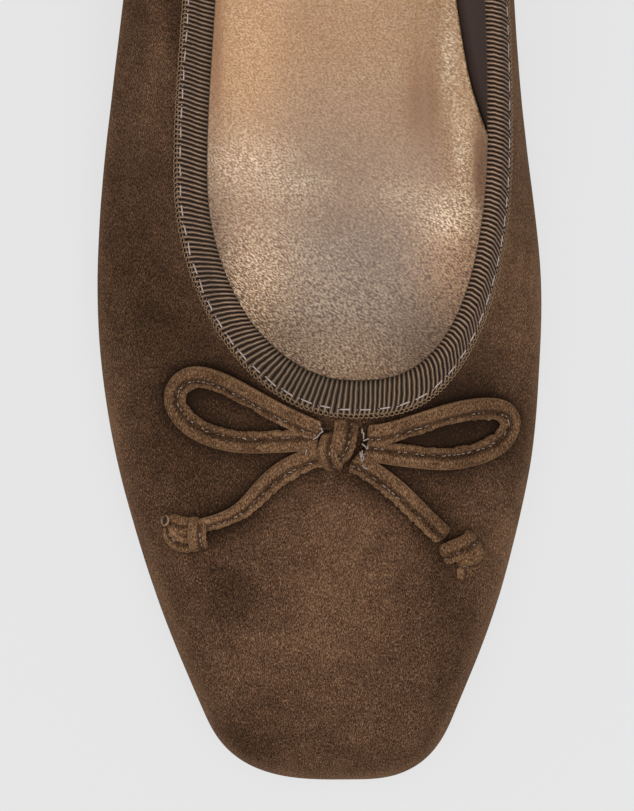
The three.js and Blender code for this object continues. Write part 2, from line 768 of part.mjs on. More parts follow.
// A pebble shape on the vamp, for the body of a knot and the space round it.
function pebble(frame, turn, length, width, height, grow) {
  const ball = new THREE.SphereGeometry(1, 12, 7).toNonIndexed();
  ball.deleteAttribute('normal');
  ball.deleteAttribute('uv');
  const along = point(Math.cos(radians(turn)), Math.sin(radians(turn)), 0);
  const across = frame.normal.clone().cross(along).normalize();
  const lengthwise = across.clone().cross(frame.normal).normalize();
  const centre = frame.at.clone().addScaledVector(frame.normal, clearance + height / 2);
  const basis = new THREE.Matrix4()
    .makeBasis(
      lengthwise.multiplyScalar(length / 2 + grow),
      across.multiplyScalar(width / 2 + grow),
      frame.normal.clone().multiplyScalar(height / 2 + grow),
    )
    .setPosition(centre.x, centre.y - heelCentre, centre.z);
  return mergeVertices(ball.applyMatrix4(basis), 1e-4);
}

// A turn of the cord wrapped over a knot's body.
function wrap(frame, turn, length, height, width) {
  const lengthwise = point(Math.cos(radians(turn)), Math.sin(radians(turn)), 0);
  const across = frame.normal.clone().cross(lengthwise).normalize();
  const along = across.clone().cross(frame.normal).normalize();
  const route = [];
  for (let k = 0; k <= 8; k++) {
    const angle = (Math.PI * (k + 0.35)) / 8.7;
    const radial = frame.normal
      .clone()
      .multiplyScalar((Math.sin(angle) * height) / 2)
      .addScaledVector(along, (-Math.cos(angle) * length) / 2);
    const at = frame.at.clone().addScaledVector(frame.normal, clearance + height / 2).add(radial);
    route.push({ at, normal: radial.clone().normalize() });
  }
  return cordGeometry(route, width, bowCordThickness * 0.7, 7);
}

const bowKnotFrame = vampFrame(bowCentre, bowFromToe);
function bowKnot() {
  const body = manifoldOf(pebble(bowKnotFrame, 90, knotLength, knotWidth, knotHeight, 0));
  const over = manifoldOf(wrap(bowKnotFrame, knotWrapTurn, knotLength * 0.92, knotHeight * 1.05, bowCordWidth));
  return body.add(over);
}
const tailFrames = Object.fromEntries(
  sides.map((side) => {
    const row = tailKnots[side];
    return [side, vampFrame(bowCentre + outward[side] * bowSpan * row.out, bowFromToe + bowSpan * row.back)];
  }),
);
const tailTurn = (side) => (side === 'medial' ? tailKnots[side].turn : 180 - tailKnots[side].turn);
function tailKnot(side) {
  const turn = tailTurn(side);
  const frame = tailFrames[side];
  const body = pebble(frame, turn, tailKnotLength, tailKnotLength * 0.8, tailKnotHeight, 0);
  const over = wrap(frame, turn + tailWrapTurn, tailKnotLength * 0.86, tailKnotHeight * 1.04, bowCordWidth * 0.8);
  return manifoldOf(body).add(manifoldOf(over));
}

const knotSpace = manifoldOf(pebble(bowKnotFrame, 90, knotLength, knotWidth, knotHeight * 1.3, clearance));
const loopSteps = 24;
const tailSteps = 9;
function loopSolid(side, grow) {
  const route = bowTables[side + '_loop'].map((row) => bowPoint(side, row));
  const halfway = Math.ceil(route.length / 2);
  const halves = [route.slice(0, halfway + 1), route.slice(halfway - 1)];
  const [out, back] = halves.map((half) =>
    manifoldOf(cordGeometry(half, bowCordWidth + 2 * grow, bowCordThickness + 2 * grow, loopSteps / 2)),
  );
  return out.add(back);
}
const largest = (manifold) => manifold.decompose().sort((a, b) => b.volume() - a.volume())[0];
const bowLoop = (side) => largest(loopSolid(side, 0).subtract(knotSpace));
function bowTail(side) {
  const route = bowTables[side + '_tail'].map((row) => bowPoint(side, row));
  const cord = manifoldOf(cordGeometry(route, bowCordWidth, bowCordThickness, tailSteps));
  const turn = tailTurn(side);
  const space = pebble(tailFrames[side], turn, tailKnotLength, tailKnotLength * 0.8, tailKnotHeight * 1.6, clearance);
  return largest(cord.subtract(knotSpace).subtract(manifoldOf(space)).subtract(loopSolid(side, clearance)));
}

// Finishes
const finishes = {
  suede: { color: 0x4d3828, roughness: 0.95, metalness: 0 },
  bowSuede: { color: 0x5b4230, roughness: 0.95, metalness: 0 },
  grosgrain: { color: 0x564738, roughness: 0.7, metalness: 0 },
  insoleLeather: { color: 0xb39675, roughness: 0.45, metalness: 0 },
  soleRubber: { color: 0x2e2621, roughness: 0.75, metalness: 0 },
};

const shoe = new THREE.Group();
shoe.name = 'heeled_ballet_flat';
function addPiece(name, geometry, finish) {
  const mesh = new THREE.Mesh(geometry, new THREE.MeshStandardMaterial(finishes[finish]));
  mesh.name = name;
  shoe.add(mesh);
}

addPiece('upper', upperGeometry(), 'suede');
addPiece('topline_binding', bindingGeometry(), 'grosgrain');
addPiece('insole', insoleGeometry(), 'insoleLeather');
addPiece('outsole', outsoleGeometry(), 'soleRubber');
addPiece('heel_block', heelBlockGeometry(), 'suede');
addPiece('heel_top_piece', topPieceGeometry(), 'soleRubber');
addPiece('bow_knot', geometryFrom(bowKnot()), 'bowSuede');
for (const side of sides) {
  addPiece('bow_loop_' + side, geometryFrom(bowLoop(side)), 'bowSuede');
  addPiece('bow_tail_' + side, geometryFrom(bowTail(side)), 'bowSuede');
  addPiece('tail_knot_' + side, geometryFrom(tailKnot(side)), 'bowSuede');
}

export default shoe;
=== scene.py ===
"""Heeled ballet flat for the right foot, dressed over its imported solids.

The last is worked out from the same named sizes and tables as the solids, at a finer mesh: lasted upper with
its lining, grosgrain binding, insole, outsole, covered heel and the bow of stitched suede cord. Lengths are
in millimetres until a mesh is made. "Along" runs from the tip of the toe to the back of the heel.
"""

from __future__ import annotations

import logging
import math
from collections.abc import Callable, Sequence
from dataclasses import dataclass, field
from enum import Enum

import bmesh
import bpy
import numpy as np
from mathutils import Matrix, Vector
from mathutils.bvhtree import BVHTree

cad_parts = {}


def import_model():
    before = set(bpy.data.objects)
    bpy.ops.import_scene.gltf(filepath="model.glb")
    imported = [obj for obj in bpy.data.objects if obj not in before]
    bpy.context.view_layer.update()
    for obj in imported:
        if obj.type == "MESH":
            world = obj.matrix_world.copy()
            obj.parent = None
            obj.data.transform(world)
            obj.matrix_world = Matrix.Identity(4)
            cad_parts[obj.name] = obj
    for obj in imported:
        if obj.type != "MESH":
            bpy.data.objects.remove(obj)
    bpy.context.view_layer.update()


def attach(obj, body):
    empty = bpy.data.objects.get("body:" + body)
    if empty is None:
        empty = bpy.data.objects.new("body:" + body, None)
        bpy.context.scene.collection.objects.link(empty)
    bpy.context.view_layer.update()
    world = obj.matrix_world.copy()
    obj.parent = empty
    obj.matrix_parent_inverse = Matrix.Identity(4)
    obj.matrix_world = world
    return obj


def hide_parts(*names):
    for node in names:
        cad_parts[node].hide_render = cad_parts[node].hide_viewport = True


LOG = logging.getLogger("ballet_flat")
MM = 0.001
UP = np.array([0.0, 0.0, 1.0])
# The upward part of a face's normal below which it counts as steep, and above which it doesn't.
STEEP = (0.2, 0.75)
Array = np.ndarray
Piece = bpy.types.Object
Material = bpy.types.Material
Nodes = bpy.types.NodeTree
Socket = bpy.types.NodeSocket


class Side(Enum):
    """The two sides of a right shoe, with the sign of their X."""

    LATERAL = -1
    MEDIAL = 1

    @property
    def column(self) -> str:
        """The side's column name in the tables."""
        return self.name.lower()


class Table:
    """Rows with named columns, read through a natural cubic spline."""

    def __init__(self, columns: str, rows: Sequence[Sequence[float]]) -> None:
        """Prepares the spline of each column.

        Args:
            columns: Names parted by spaces. The first is the column that the others are read by.
            rows: One row of numbers for each station.
        """
        data = np.array(rows, float)
        self.at = data[:, 0]
        self.columns = dict(zip(columns.split()[1:], data[:, 1:].T))
        self.bends = {name: self._bends(values) for name, values in self.columns.items()}

    def _bends(self, values: Array) -> Array:
        """Second derivatives at the rows, zero at both ends.

        Args:
            values: One column.

        Returns:
            The second derivative at each row.
        """
        count = len(self.at)
        matrix = np.eye(count)
        kinks = np.zeros(count)
        for i in range(1, count - 1):
            before, after = np.diff(self.at[i - 1 : i + 2])
            matrix[i, i - 1 : i + 2] = before / 6, (before + after) / 3, after / 6
            kinks[i] = (values[i + 1] - values[i]) / after - (values[i] - values[i - 1]) / before
        return np.linalg.solve(matrix, kinks)

    def read(self, column: str, at: Array) -> Array:
        """Reads one column at any stations.

        Args:
            column: The column's name.
            at: The stations.

        Returns:
            The spline's values there.
        """
        at = np.asarray(at, float)
        i = np.clip(np.searchsorted(self.at, at) - 1, 0, len(self.at) - 2)
        step = self.at[i + 1] - self.at[i]
        a = (self.at[i + 1] - at) / step
        b = 1 - a
        values, bends = self.columns[column], self.bends[column]
        curve = (a**3 - a) * bends[i] + (b**3 - b) * bends[i + 1]
        return a * values[i] + b * values[i + 1] + curve * step * step / 6


# Half widths of the widest outline, as shares of half the ball width. "at" is a share of the shoe's length.
OUTLINE = Table(
    "at lateral medial",
    [
        (0.0, 0.388, 0.485), (0.06, 0.549, 0.631), (0.12, 0.699, 0.774), (0.18, 0.821, 0.878),
        (0.24, 0.918, 0.953), (0.3, 0.979, 0.985), (0.36, 1.002, 0.997), (0.42, 0.99, 0.967),
        (0.5, 0.941, 0.907), (0.58, 0.881, 0.869), (0.68, 0.818, 0.818), (0.8, 0.772, 0.768),
        (0.9, 0.757, 0.75), (1.0, 0.74, 0.735),
    ],
)
# How far the feather edge lies inside the outline (shares of half the ball width), and the height of the
# widest line above it (share of the back height).
FEATHER = Table(
    "at lateral medial widest",
    [
        (0.0, 0.06, 0.06, 0.11), (0.12, 0.075, 0.075, 0.145), (0.24, 0.08, 0.08, 0.165),
        (0.36, 0.085, 0.12, 0.175), (0.46, 0.115, 0.21, 0.2), (0.58, 0.155, 0.315, 0.25),
        (0.68, 0.15, 0.28, 0.3), (0.78, 0.135, 0.19, 0.36), (0.88, 0.12, 0.13, 0.4),
        (1.0, 0.11, 0.11, 0.42),
    ],
)
# Half widths of the topline (shares of half the ball width) and the wall's lean there, in degrees from
# upright.
TOPLINE = Table(
    "at lateral medial lean_lateral lean_medial",
    [
        (0.29, 0.533, 0.786, 68, 68), (0.305, 0.533, 0.786, 52, 44), (0.33, 0.533, 0.786, 39, 25),
        (0.38, 0.535, 0.788, 34, 17), (0.45, 0.548, 0.797, 35, 16), (0.58, 0.51, 0.784, 31, 16),
        (0.68, 0.5, 0.724, 25, 15), (0.78, 0.516, 0.636, 19, 14), (0.88, 0.533, 0.567, 14, 13),
        (1.0, 0.53, 0.535, 11, 11),
    ],
)
# The topline's height above the feather edge, as shares of the throat, side and back heights.
HEIGHT = Table(
    "at throat side back medial_rise",
    [
        (0.28, 1, 0, 0, 0), (0.36, 0.3, 0.7, 0, 0.01), (0.45, 0, 1, 0, 0.04), (0.58, 0, 1.02, 0, 0.06),
        (0.68, 0, 0.9, 0.12, 0.05), (0.8, 0, 0.45, 0.53, 0.03), (0.9, 0, 0.12, 0.87, 0.01),
        (1.0, 0, 0, 1, 0),
    ],
)
# How upright the wall starts, and how long it runs straight below the topline.
PROFILE = Table(
    "at start finish",
    [
        (0.0, 0.7, 0.6), (0.12, 0.62, 0.56), (0.24, 0.52, 0.48), (0.36, 0.44, 0.42), (0.58, 0.4, 0.4),
        (1.0, 0.4, 0.36),
    ],
)
# Soft troughs (negative) and ridges of the worn leather: where each starts and ends in plan, how wide it is
# and how deep, all in shares of the ball width.
CREASES = (
    (-0.47, 1.72, -0.42, 1.2, 0.075, -0.008), (-0.4, 1.68, -0.385, 1.3, 0.06, 0.006),
    (-0.4, 1.02, -0.24, 0.84, 0.08, -0.006), (0.43, 1.02, 0.33, 0.8, 0.07, -0.006),
    (-0.25, 0.62, -0.32, 0.42, 0.09, 0.006), (0.12, 0.62, 0.25, 0.3, 0.11, 0.007),
    (-0.08, 0.52, 0.0, 0.22, 0.09, -0.005),
)
# Where the brushed nap lies darker (negative) or lighter, mixed with painted shade beside the binding and
# around the bow and painted light on the toe: x, along, the patch's half widths across and along, all in
# millimetres, and how strongly.
NAP_AND_PAINTED_LIGHT_SHADE = (
    (1.9, 26.1, 19.5, 20.5, 0.5), (5.5, 48.1, 8.3, 11.1, 0.3), (-31.4, 90.7, 8.3, 14.8, -0.35),
    (-24.1, 70.3, 11.1, 9.2, -0.3), (-19.4, 51.8, 10.2, 8.3, -0.35), (-15.7, 34.2, 4.8, 6.5, -0.45),
    (25.0, 71.8, 7.8, 5.5, -0.6), (25.0, 64.4, 5.9, 3.3, -0.4), (35.5, 88.8, 4.6, 16.2, 0.3),
    (22.6, 34.8, 4.4, 8.3, -0.5), (-12.0, 6.5, 7.0, 3.7, -0.4), (5.5, 5.2, 7.4, 2.2, -0.25),
    (-38.3, 66.6, 3.3, 12.9, 0.3), (-29.0, 38.9, 2.8, 9.2, 0.25), (-30.5, 129.5, 3.3, 11.1, 0.25),
    (-26.3, 140.6, 2.2, 8.3, -0.35), (34.2, 44.4, 2.6, 11.1, 0.3), (7.4, 55.5, 11.1, 3.7, -0.3),
    (30.0, 50.0, 5.0, 9.0, 0.3),
)
# The same for the sock: painted highlights where its grain shows as glints, painted shade in its hollows.
SOCK_PAINTED_GLINTS_AND_SHADE = (
    (-12.9, 113.8, 9.2, 4.8, 0.5), (24.1, 104.5, 4.8, 3.7, 1.0), (26.6, 116.5, 1.6, 8.3, 1.0),
    (23.7, 134.1, 1.4, 9.2, 0.75), (1.9, 88.8, 15.7, 10.2, 0.35), (-9.2, 96.2, 9.2, 11.1, 0.25),
    (15.7, 108.2, 6.5, 3.3, 0.35), (-3.7, 110.1, 5.9, 2.6, 0.45), (19.0, 125.0, 2.8, 10.0, -0.35),
    (-19.3, 138.0, 1.2, 14.0, -0.5), (29.6, 113.8, 0.9, 5.5, -1.0), (-15.5, 86.0, 5.0, 14.0, 0.3),
    (2.0, 77.5, 13.0, 4.0, 0.3),
)
# And how much paler (positive) or darker the sock's colour is painted: painted light that lifts the shade
# near its walls, with a little painted shade.
SOCK_PAINTED_LIGHT = (
    (-16.0, 135.0, 9.0, 32.0, 0.7), (5.0, 142.0, 18.0, 16.0, 0.22), (4.0, 72.0, 20.0, 9.5, 1.2),
    (-14.0, 88.0, 7.0, 12.0, 1.0), (26.5, 94.0, 7.0, 13.0, 1.1), (27.5, 124.0, 3.0, 18.0, 0.4),
    (7.0, 97.0, 14.0, 9.0, -0.2), (-4.0, 115.0, 18.0, 9.0, -0.14),
)
# The bow in plan, in shares of its half span from the knot: out from the middle, back to the heel, and the
# lift above the vamp.
BOW_LOOPS = {
    Side.LATERAL: (
        (0.105, 0.095, 0.02), (0.302, 0.197, 0.03), (0.567, 0.348, 0.03), (0.722, 0.416, 0.03),
        (0.857, 0.429, 0.03), (0.956, 0.367, 0.02), (0.987, 0.274, 0.01), (0.937, 0.17, 0.01),
        (0.826, 0.083, 0.0), (0.641, 0.028, 0.0), (0.456, 0.022, 0.0), (0.29, 0.034, 0.01),
        (0.115, 0.05, 0.02),
    ),
    Side.MEDIAL: (
        (0.17, 0.075, 0.02), (0.29, 0.096, 0.03), (0.561, 0.188, 0.03), (0.722, 0.225, 0.03),
        (0.87, 0.234, 0.03), (0.974, 0.207, 0.03), (1.017, 0.139, 0.02), (0.987, 0.046, 0.01),
        (0.888, -0.028, 0.01), (0.758, -0.071, 0.0), (0.611, -0.083, 0.0), (0.438, -0.065, 0.0),
        (0.29, -0.04, 0.01), (0.155, -0.012, 0.02),
    ),
}
BOW_TAILS = {
    Side.LATERAL: (
        (0.08, -0.045, 0.0), (0.203, -0.091, 0.0), (0.321, -0.156, 0.0), (0.438, -0.256, 0.0),
        (0.549, -0.367, 0.0), (0.666, -0.441, 0.0), (0.85, -0.5, 0.01),
    ),
    Side.MEDIAL: (
        (0.08, -0.085, 0.0), (0.203, -0.16, 0.0), (0.351, -0.281, 0.0), (0.475, -0.41, 0.0),
        (0.625, -0.562, 0.01),
    ),
}


def closing(distance: Array, reach: float, power: float) -> Array:
    """How far a curve has closed at a distance from its end: 0 at the end, 1 from the reach onwards."""
    left = 1 - np.clip(np.asarray(distance, float) / reach, 0, 1)
    return (1 - left**power) ** (1 / power)


def smooth(low: float | Array, high: float, value: Array) -> Array:
    """The usual smooth step from 0 at low to 1 at high."""
    t = np.clip((value - low) / (high - low), 0, 1)
    return t * t * (3 - 2 * t)


def unit(vectors: Array) -> Array:
    """The vectors at unit length."""
    return vectors / np.maximum(np.linalg.norm(vectors, axis=-1, keepdims=True), 1e-12)


def bezier(controls: Array, t: Array) -> Array:
    """Cubic curves at given parameters.

    Args:
        controls: Four control points for each curve, shape (n, 4, 3).
        t: Parameters for each curve, shape (n, m).

    Returns:
        Points, shape (n, m, 3).
    """
    t = t[..., None]
    s = 1 - t
    c = controls[:, :, None, :]
    return s**3 * c[:, 0] + 3 * s * s * t * c[:, 1] + 3 * s * t * t * c[:, 2] + t**3 * c[:, 3]


def lengths(line: Array) -> Array:
    """Running length along a line of points, starting at 0."""
    steps = np.linalg.norm(np.diff(line, axis=0), axis=-1)
    return np.concatenate([[0], np.cumsum(steps)])


def read_rows(at: Array, run: Array, rows: Array) -> Array:
    """Reads every column of rows at places along their run."""
    return np.stack([np.interp(at, run, column) for column in rows.T], -1)


def ripple(points: Array, wavelength: float, waves: int, seed: int) -> Array:
    """A smooth, fixed unevenness of about unit height, as a sum of plane waves.

    Args:
        points: Any array of points, last axis 3.
        wavelength: The shortest wave in mm. The longest is three times that.
        waves: How many waves are added.
        seed: Fixes the waves.

    Returns:
        One number for each point.
    """
    rng = np.random.default_rng(seed)
    total = np.zeros(points.shape[:-1])
    for _ in range(waves):
        direction = unit(rng.normal(size=3))
        pitch = wavelength * rng.uniform(1, 3)
        total += np.sin(points @ direction * 2 * np.pi / pitch + rng.uniform(0, 2 * np.pi))
    return total / math.sqrt(waves / 2)


def vertex_plan(item: Piece, last: Last) -> tuple[Array, Array]:
    """Where a piece's vertices lie in plan.

    Args:
        item: The piece.
        last: The sizes.

    Returns:
        X and along, in mm.
    """
    co = np.zeros(len(item.data.vertices) * 3)
    item.data.vertices.foreach_get("co", co)
    return co[::3] / MM, co[1::3] / MM + last.heel_centre


def write_attribute(item: Piece, name: str, values: Array) -> None:
    """Writes one number for each vertex, which a material reads."""
    layer = item.data.attributes.get(name) or item.data.attributes.new(name, "FLOAT", "POINT")
    layer.data.foreach_set("value", values)


def add_tone(item: Piece, extra: Array) -> None:
    """Adds to the tone of a painted piece.

    Args:
        item: The piece.
        extra: What is added at each vertex.
    """
    tone = np.zeros(len(extra))
    item.data.attributes["tone"].data.foreach_get("value", tone)
    write_attribute(item, "tone", tone + extra)


def paint(
    item: Piece,
    last: Last,
    patches: Sequence[Sequence[float]],
    base: float,
    rim: float = 0.0,
    name: str = "tone",
) -> None:
    """Writes an attribute that a material reads: the sum of soft patches in plan.

    Args:
        item: The piece.
        last: The sizes.
        patches: Rows of x, along, both half widths and strength.
        base: The value outside them.
        rim: What steep faces add: a painted highlight along edges that face sideways.
        name: The attribute.
    """
    facing = np.zeros(len(item.data.vertices) * 3)
    item.data.vertices.foreach_get("normal", facing)
    x, along = vertex_plan(item, last)
    total = base + rim * (1 - smooth(*STEEP, facing[2::3]))
    for px, pa, across, lengthways, amount in patches:
        total += amount * np.exp(-(((x - px) / across) ** 2 + ((along - pa) / lengthways) ** 2))
    write_attribute(item, name, total)


@dataclass
class Last:
    """The last and the shoe's main sizes, as in the solids."""

    length: float = 250
    ball_width: float = 82.4
    heel_height: float = 30
    heel_centre_from_back: float = 27
    toe_spring: float = 6
    back_height: float = 52
    throat_height: float = 37.5
    side_height: float = 33
    throat_from_toe: float = 72.6
    wall: float = 1.6
    topline_wall: float = 1.2
    skive_length: float = 9
    outsole_thickness: float = 3.2
    sole_reveal: float = 0.8
    insole_thickness: float = 4.6
    insole_dish: float = 1.4
    clearance: float = 0.3
    seat_slope: float = 0.07
    tread_start: float = 60
    tread_end: float = 92
    waist_end: float = 194
    toe_centre: float = 5
    toe_reach: float = 13
    toe_power: float = 3.15
    heel_reach: float = 31
    heel_power: float = 2.2
    throat_centre: float = 6.3
    throat_reach: dict[Side, float] = field(default_factory=lambda: {Side.LATERAL: 36.8, Side.MEDIAL: 49.4})
    throat_power: dict[Side, float] = field(default_factory=lambda: {Side.LATERAL: 2.02, Side.MEDIAL: 2.65})
    collar_back_inset: float = 5.5
    collar_back_reach: float = 24
    collar_back_power: float = 2.1
    square_stations: tuple[float, ...] = (0.45, 0.66, 0.85)
    turn_weight: float = 26
    trace_steps: int = 2400

    @property
    def half_ball(self) -> float:
        """Half the ball width."""
        return self.ball_width / 2

    @property
    def heel_centre(self) -> float:
        """Where the middle of the heel lies along the shoe."""
        return self.length - self.heel_centre_from_back

    def seat_height(self, along: Array) -> Array:
        """Height of the outsole's underside over the heel."""
        return self.heel_height + self.seat_slope * (along - self.heel_centre)

    def sole_underside(self, along: Array) -> Array:
        """Height of the outsole's underside: toe spring, flat tread, arch and seat.

        Args:
            along: Distances from the toe, in mm.

        Returns:
            Heights in mm.
        """
        along = np.asarray(along, float)
        toe = self.toe_spring * (np.clip(self.tread_start - along, 0, None) / self.tread_start) ** 2
        span = self.waist_end - self.tread_end
        t = np.clip((along - self.tread_end) / span, 0, 1)
        eased, slope = (3 - 2 * t) * t * t, (t - 1) * t * t
        waist = eased * self.seat_height(self.waist_end) + slope * span * self.seat_slope
        behind = np.where(along > self.waist_end, self.seat_height(along), waist)
        return np.where(along > self.tread_end, behind, toe)

    def sole_top(self, along: Array) -> Array:
        """Height of the outsole's top."""
        return self.sole_underside(along) + self.outsole_thickness

    def feather_line(self, along: Array) -> Array:
        """Height of the upper's lower edge."""
        return self.sole_top(along) + self.clearance

    def outline(self, side: Side, along: Array) -> Array:
        """Points of the widest line.

        Args:
            side: Which side.
            along: Distances from the toe, in mm.

        Returns:
            X, along and height in mm.
        """
        at = along / self.length
        half = side.value * self.half_ball * OUTLINE.read(side.column, at)
        toe = closing(along, self.toe_reach, self.toe_power)
        heel = closing(self.length - along, self.heel_reach, self.heel_power)
        x = (self.toe_centre + (half - self.toe_centre) * toe) * heel
        z = self.feather_line(along) + self.back_height * FEATHER.read("widest", at)
        return np.stack([x, along, z], -1)

    def topline(self, side: Side, along: Array) -> Array:
        """Points of the topline.

        Args:
            side: Which side.
            along: Distances from the toe, in mm.

        Returns:
            X, along and height in mm.
        """
        at = along / self.length
        half = side.value * self.half_ball * TOPLINE.read(side.column, at)
        front = closing(along - self.throat_from_toe, self.throat_reach[side], self.throat_power[side])
        behind = self.length - self.collar_back_inset - along
        back = closing(behind, self.collar_back_reach, self.collar_back_power)
        height = self.throat_height * HEIGHT.read("throat", at)
        height += self.side_height * HEIGHT.read("side", at)
        height += self.back_height * HEIGHT.read("back", at)
        if side is Side.MEDIAL:
            height += self.side_height * HEIGHT.read("medial_rise", at)
        x = (self.throat_centre + (half - self.throat_centre) * front) * back
        return np.stack([x, along, self.feather_line(along) + height], -1)

    def trace(self, curve: Callable[[Array], Array], start: float, end: float) -> Array:
        """A dense line along a curve, closest where it turns at its ends."""
        eased = (1 - np.cos(np.linspace(0, np.pi, self.trace_steps + 1))) / 2
        return curve(start + (end - start) * eased * eased * (3 - 2 * eased))

    def side_rays(self, side: Side, count: int) -> tuple[Array, Array]:
        """One side's rays, each from the outline to the topline.

        Args:
            side: Which side.
            count: How many steps from the toe to the heel.

        Returns:
            Points on the outline and their partners on the topline.
        """
        outer = self.trace(lambda along: self.outline(side, along), 0, self.length)
        collar_end = self.length - self.collar_back_inset
        inner = self.trace(lambda along: self.topline(side, along), self.throat_from_toe, collar_end)
        outer_run, inner_run = lengths(outer[:, :2]), lengths(inner[:, :2])
        stations = np.array(self.square_stations) * self.length
        pairs = zip(np.interp(stations, outer[:, 1], outer_run), np.interp(stations, inner[:, 1], inner_run))
        partner = Table("at inner", [(0, 0), *pairs, (outer_run[-1], inner_run[-1])])
        steps = np.diff(outer[:, :2], axis=0)
        heading = np.arctan2(steps[:, 1], steps[:, 0])
        turns = np.abs((np.diff(heading) + np.pi) % (2 * np.pi) - np.pi)
        weighted = outer_run + self.turn_weight * np.concatenate([[0, 0], np.cumsum(turns)])
        run = np.interp(np.linspace(0, weighted[-1], count + 1), weighted, outer_run)
        return read_rows(run, outer_run, outer), read_rows(partner.read("inner", run), inner_run, inner)


class LastedSurface:
    """The upper's outer surface as a ring of rays, by level: feather edge 0, widest line 1 and topline 2."""

    # How the wall leaves the feather edge, in shares of the tuck and of the rise, and over which share of the
    # rise it meets the widest line upright.
    SWEEP_OUT = 0.45
    SWEEP_UP = 0.35
    UPRIGHT = 0.5
    # The level from which its directions turn level, down to the feather edge.
    FLAT_FROM = 0.5
    NORMAL_STEP = 0.04

    def __init__(self, last: Last, per_side: int) -> None:
        """Makes the rays.

        Args:
            last: The sizes.
            per_side: Rays on each side of the shoe.
        """
        self.last = last
        self.count = 2 * per_side
        o1, t1 = last.side_rays(Side.LATERAL, per_side)
        o2, t2 = last.side_rays(Side.MEDIAL, per_side)
        self.o = np.concatenate([o1, o2[1:-1][::-1]])
        self.t = np.concatenate([t1, t2[1:-1][::-1]])
        self.medial = np.arange(self.count) > per_side
        before, after = np.roll(self.o, 1, axis=0), np.roll(self.o, -1, axis=0)
        across = np.stack([before[:, 1] - after[:, 1], after[:, 0] - before[:, 0], np.zeros(self.count)], -1)
        self.out = unit(across)
        self.lower, self.upper = self._controls()

    def _pick(self, table: Table, lateral: str, medial: str, at: Array) -> Array:
        """Reads a table's lateral or medial column for each ray."""
        return np.where(self.medial, table.read(medial, at), table.read(lateral, at))

    def _controls(self) -> tuple[Array, Array]:
        """Control points of each ray.

        Returns:
            Four for its curve below the widest line and four for that above, shape (n, 4, 3).
        """
        last, o, t, out = self.last, self.o, self.t, self.out
        at = o[:, 1] / last.length
        tuck = (last.half_ball * self._pick(FEATHER, "lateral", "medial", at))[:, None]
        feather = o - out * tuck
        feather[:, 2] = last.feather_line(feather[:, 1])
        below = (o[:, 2] - feather[:, 2])[:, None]
        swept = feather + out * tuck * self.SWEEP_OUT + UP * below * self.SWEEP_UP
        lower = np.stack([feather, swept, o - UP * below * self.UPRIGHT, o], 1)
        lean = np.radians(self._pick(TOPLINE, "lean_lateral", "lean_medial", t[:, 1] / last.length))[:, None]
        inward = t - o
        inward[:, 2] = 0
        inward = unit(inward)
        rise = o + UP * ((t[:, 2] - o[:, 2]) * PROFILE.read("start", at))[:, None]
        run = (np.linalg.norm(t - o, axis=1) * PROFILE.read("finish", at))[:, None]
        settle = t - inward * run * np.sin(lean) - UP * run * np.cos(lean)
        return lower, np.stack([o, rise, settle, t], 1)

    def spread(self, level: Array) -> Array:
        """The same levels for every ray, where they aren't given for each."""
        return np.broadcast_to(level, (self.count, np.shape(level)[-1]))

    def points(self, level: Array, shift: int = 0) -> Array:
        """Points on the surface.

        Args:
            level: Levels, shape (m,) for all rays or (n, m).
            shift: Read the rays this many places round the ring instead.

        Returns:
            Points, shape (n, m, 3).
        """
        level = self.spread(level)
        low = bezier(np.roll(self.lower, shift, axis=0), np.clip(level, 0, 1))
        high = bezier(np.roll(self.upper, shift, axis=0), np.clip(level - 1, 0, 1))
        return np.where((level <= 1)[..., None], low, high)

    def normals(self, level: Array) -> Array:
        """Outward normals.

        Args:
            level: Levels, shape (m,) or (n, m).

        Returns:
            Unit vectors, shape (n, m, 3).
        """
        level = self.spread(level)
        around = self.points(level, -1) - self.points(level, 1)
        above, below = np.clip(level + self.NORMAL_STEP, 0, 2), np.clip(level - self.NORMAL_STEP, 0, 2)
        return -unit(np.cross(around, self.points(above) - self.points(below)))

    def directions(self, level: Array) -> Array:
        """Normals that turn level towards the feather edge, so that the wall stands flat on the sole.

        Args:
            level: Levels, shape (m,) or (n, m).

        Returns:
            Unit vectors, shape (n, m, 3).
        """
        level = self.spread(level)
        flatness = np.clip(1 - level / self.FLAT_FROM, 0, 1)[..., None]
        return unit(self.normals(level) * (1 - flatness) + self.out[:, None, :] * flatness)

    def below_topline(self, distances: Array) -> Array:
        """The levels that lie given distances below the topline, measured on the surface.

        Args:
            distances: Distances in mm, shape (m,).

        Returns:
            Levels, shape (n, m).
        """
        samples = np.linspace(2, 0, 400)
        grid = self.points(samples)
        steps = np.linalg.norm(np.diff(grid, axis=1), axis=-1)
        walked = np.concatenate([np.zeros((self.count, 1)), np.cumsum(steps, axis=1)], axis=1)
        return np.stack([np.interp(distances, row, samples) for row in walked])

    def thickness(self, level: Array) -> Array:
        """The wall's thickness, skived towards the topline.

        Args:
            level: Levels, shape (m,) or (n, m).

        Returns:
            Thickness in mm, shape (n, m).
        """
        start = self.below_topline(np.array([self.last.skive_length]))
        share = smooth(start, 2.0, self.spread(level))
        return self.last.wall + (self.last.topline_wall - self.last.wall) * share


def to_frame(points: Array, last: Last) -> Array:
    """Puts points into the part's frame.

    Args:
        points: X, along and height in mm.
        last: The sizes.

    Returns:
        The same in metres, with the heel's middle at Y 0.
    """
    placed = np.array(points, float)
    placed[..., 1] -= last.heel_centre
    return placed * MM


